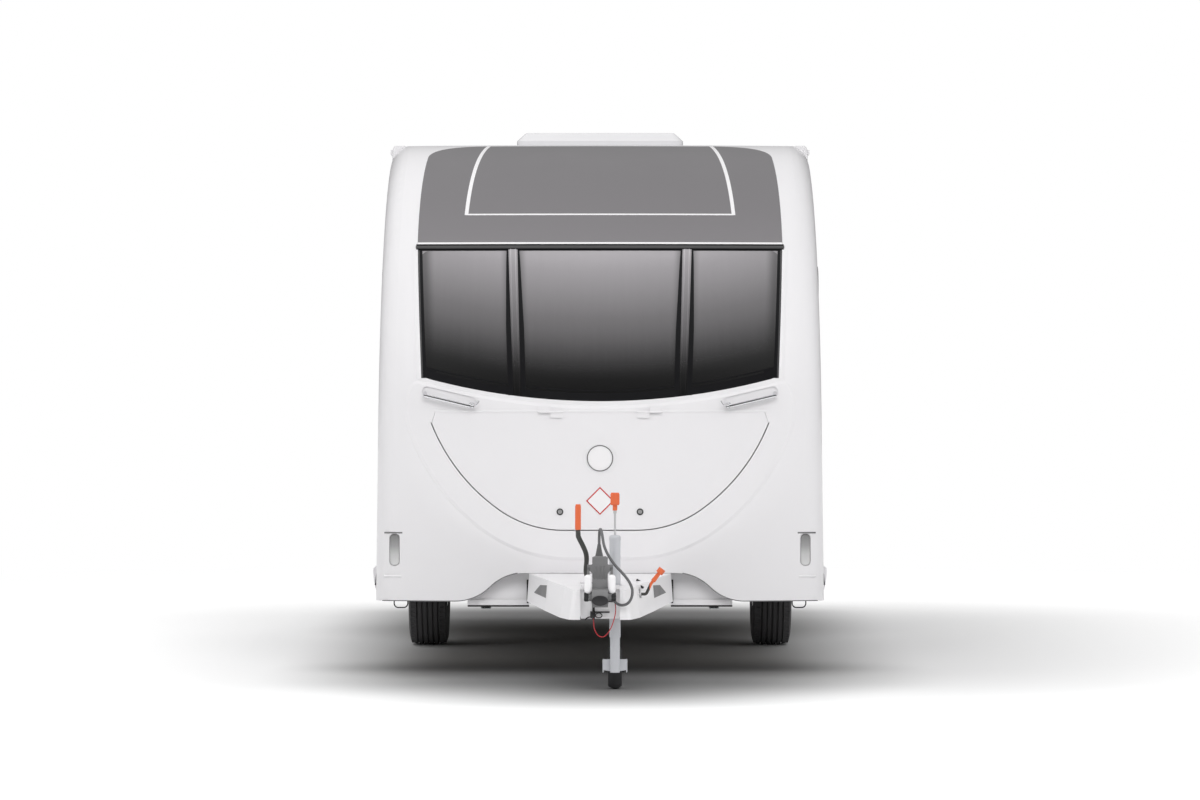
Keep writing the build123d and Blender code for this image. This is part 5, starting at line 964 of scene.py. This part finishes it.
reflector = 0.085 * np.array([(-0.5, -0.29), (0.5, -0.29), (0, 0.577)])
makePiece("rearReflectors", [plate(reflector + (side * 0.6, 0.68), (0, body["tailY"] - 0.001, 0), facingTail,
                                   0.007, 0.002, 3) for side in sides], "lampRed", smooth=0)
blankPlate = plate(roundedBox(0.52, 0.111, 0.012, 6, (0.0, 0.78)), (0, body["tailY"] - 0.0015, 0), facingTail,
                   0.005, 0.001, 3)
makePiece("blankPlate", [blankPlate], "plateYellow")
markers = [plate(roundedBox(0.09, 0.036, 0.008, 5, (side * y, 0.502)), (side * 1.1105, 0, 0), ((0, side, 0), upright),
                 0.0045, 0.002) for side in sides for y in (-1.25, -0.05, 1.75, 2.85)]
makePiece("sideReflectors", markers, "lampAmber")
print("stage 5: front dressed")

tyre = {
    "axleY": 0.8, "axleZ": 0.325, "radius": 0.325, "bead": 0.178, "shoulder": 0.317, "inner": 0.823, "outer": 1.028,
    "treadHalf": 0.084, "wallFoot": 0.08, "wallTop": 0.004, "crownDrop": 0.008, "blockFrom": 0.066, "blockCut": 0.004,
    "grooves": (-0.056, -0.028, 0.0, 0.028, 0.056), "grooveHalf": 0.0055, "grooveDepth": 0.009, "cuts": 72,
}


def tyreShape(side):
    # a sidewall arc, a shoulder and a flat tread; grooves run round it and short cuts cross the shoulder blocks
    middle, half = side * (tyre["inner"] + tyre["outer"]) / 2, (tyre["outer"] - tyre["inner"]) / 2
    wall = np.linspace(0, 1, 15)
    wallX = tyre["wallFoot"] + (half - tyre["wallFoot"]) * np.sin(np.pi * 0.9 * wall) ** 0.8 + tyre["wallTop"] * wall
    wallR = tyre["bead"] + (tyre["shoulder"] - tyre["bead"]) * wall
    tread = np.linspace(tyre["treadHalf"], -tyre["treadHalf"], 85)
    crown = tyre["radius"] - tyre["crownDrop"] * np.abs(tread / tyre["treadHalf"]) ** 3
    gap = np.abs(tread[:, None] - tyre["grooves"]).min(1)
    dip = np.clip(1.6 - 1.6 * gap / tyre["grooveHalf"], 0, 1)
    acrossX = np.concatenate([wallX, tread, -wallX[::-1]])
    radius = np.concatenate([wallR, crown - tyre["grooveDepth"] * dip, wallR[::-1]])
    isTread = np.concatenate([wall * 0, np.ones_like(tread), wall * 0])
    angle = fullTurn(tyre["cuts"] * 5)
    block = np.arange(tyre["cuts"] * 5) % 5 == 0
    shoulder = (np.abs(acrossX) > tyre["blockFrom"]) & (isTread > 0)
    ring = radius[:, None] - block[None] * (tyre["blockCut"] * shoulder[:, None])
    points = np.stack([np.broadcast_to(middle + side * acrossX[:, None], ring.shape),
                       tyre["axleY"] + ring * np.cos(angle), tyre["axleZ"] + ring * np.sin(angle)], -1)
    return points.reshape(-1, 3), [gridFaces(len(acrossX), len(angle), closeRows=True, closeColumns=True)]


for side, word in zip(sides, ("left", "right")):
    piece = makePiece("tread_" + word, [tyreShape(side)], "tyreRubber", "wheel_" + word, smooth=30)
    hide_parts("tyre_" + word)
print("stage 6: tyres made")

# The floor: lamps light it at its own pale tone, and the camera sees it lighter, then plain white far off.
stage = {
    "half": 60.0, "pale": 0.8, "paleSeen": 1.2, "near": 5.0, "far": 10.0,
    # soft shade on the ground, tightest under the body: middle, half sizes, from and to distances, least value
    "shades": (((0.0, 1.4), (0.8, 2.4), (0.0, 0.9), 0.5), ((0.35, 0.6), (0.9, 2.5), (0.0, 3.0), 0.7),
               ((0.0, 3.2), (0.4, 0.9), (0.0, 1.5), 0.5), ((0.0, -1.75), (0.55, 0.35), (0.0, 1.2), 0.35),
               ((0.03, -2.9), (0.0, 0.0), (0.0, 1.4), 0.4)),
}


def pastEdge(tree, along, middle, half):
    # how far a place lies outside a span, 0 within it
    return chain(tree, along, ("SUBTRACT", middle), ("ABSOLUTE",), ("SUBTRACT", half), ("MAXIMUM", 0.0))


def floorFinish():
    finish, tree, shader, where = newFinish("floorPale")
    tree.nodes.remove(shader)
    path = addNode(tree, "LightPath")
    mirrored = calc(tree, "MAXIMUM", path["Is Glossy Ray"], path["Is Transmission Ray"])
    seen = calc(tree, "MAXIMUM", path["Is Camera Ray"], mirrored)
    axes = axesOf(tree, where)
    seenTone = stage["paleSeen"]
    for (x, y), (halfX, halfY), (start, end), least in stage["shades"]:
        # each shade eases with the distance outside a box on the ground
        away = distanceOf(tree, pastEdge(tree, axes["X"], x, halfX), pastEdge(tree, axes["Y"], y, halfY))
        seenTone = calc(tree, "MULTIPLY", smoothRise(tree, away, start, end, least), seenTone)
    litTone = drifting(tree, noiseNode(tree, where, 2.0), (stage["pale"] * 0.99, stage["pale"]))
    matt = addNode(tree, "BsdfDiffuse", {"Color": mixed(tree, seen, litTone, seenTone)})
    white = addNode(tree, "Emission", {"Color": (1, 1, 1, 1)})
    length = addNode(tree, "VectorMath", {0: where}, operation="LENGTH")["Value"]
    far = calc(tree, "MULTIPLY", smoothRise(tree, length, stage["near"], stage["far"]), seen)
    both = addNode(tree, "MixShader", {0: far, 1: matt[0], 2: white[0]})
    feed(tree, tree.nodes["Material Output"], {"Surface": both[0]})
    return finish


half = stage["half"]
floorMesh = bpy.data.meshes.new("floorSheet")
floorMesh.from_pydata([(-half, -half, 0), (half, -half, 0), (half, half, 0), (-half, half, 0)], [], [(0, 1, 2, 3)])
floorMesh.materials.append(floorFinish())
floorSheet = placed("floorSheet", floorMesh)

lamps = {
    # name: place, aim, width, height, watts
    "keyLamp": ((-4.0, 0.5, 9.5), (0.0, 0.0, 0.5), 8.0, 8.0, 200.0),
    "frontLamp": ((0.6, -10.5, 6.4), (0.0, -1.9, 1.2), 8.0, 3.5, 405.0),
    "rearLamp": ((3.0, 13.0, 6.0), (0.0, 2.0, 1.3), 8.0, 4.0, 300.0),
    "leftLamp": ((-9.0, -4.5, 3.4), (0.0, -1.0, 1.5), 5.0, 4.0, 110.0),
    "rightLamp": ((9.0, -4.5, 3.4), (0.0, -1.0, 1.5), 5.0, 4.0, 110.0),
}
for name, (place, aim, width, height, watts) in lamps.items():
    light = bpy.data.lights.new(name, "AREA")
    light.shape = "RECTANGLE"
    light.size, light.size_y, light.energy = width, height, watts
    lamp = placed(name, light)
    lamp.location = place
    lamp.rotation_euler = (Vector(aim) - Vector(place)).to_track_quat("-Z", "Y").to_euler()
    lamp.visible_glossy = False

# The sky's strength as light and as a reflection, each from low to high; seen directly it is plain white.
skyLight = {"ambient": (0.496, 0.62), "ambientAt": (0.0, 0.9), "glossy": (0.12, 1.0), "glossyAt": (0.05, 0.95)}
world = bpy.data.worlds.new("studio")
bpy.context.scene.world = world
world.use_nodes = True
sky = world.node_tree
skyPath = addNode(sky, "LightPath")
skyHeight = axesOf(sky, addNode(sky, "TexCoord")["Generated"])["Z"]
diffuseSky = smoothRise(sky, skyHeight, *skyLight["ambientAt"], *skyLight["ambient"])
glossySky = smoothRise(sky, skyHeight, *skyLight["glossyAt"], *skyLight["glossy"])
extraGloss = calc(sky, "MULTIPLY", skyPath["Is Glossy Ray"], calc(sky, "SUBTRACT", glossySky, diffuseSky))
strength = calc(sky, "ADD", diffuseSky, extraGloss)
seenSky = calc(sky, "MAXIMUM", skyPath["Is Camera Ray"], skyPath["Is Transmission Ray"])
strength = calc(sky, "ADD", strength, calc(sky, "MULTIPLY", seenSky, calc(sky, "SUBTRACT", 1.0, strength)))
feed(sky, sky.nodes["Background"], {"Color": (1, 1, 1, 1), "Strength": strength})

shot = {"place": (0.0, -24.39, 1.565), "lens": 139.2, "down": 0.545}
cameraData = bpy.data.cameras.new("camera")
cameraData.lens = shot["lens"]
cameraData.sensor_width = 36.0
cameraData.clip_end = 300.0
camera = placed("camera", cameraData)
camera.location = shot["place"]
camera.rotation_euler = (math.radians(90 - shot["down"]), 0, 0)
bpy.context.scene.camera = camera
bpy.context.scene.view_settings.view_transform = "Standard"
print("stage 7: floor, lamps and camera set")
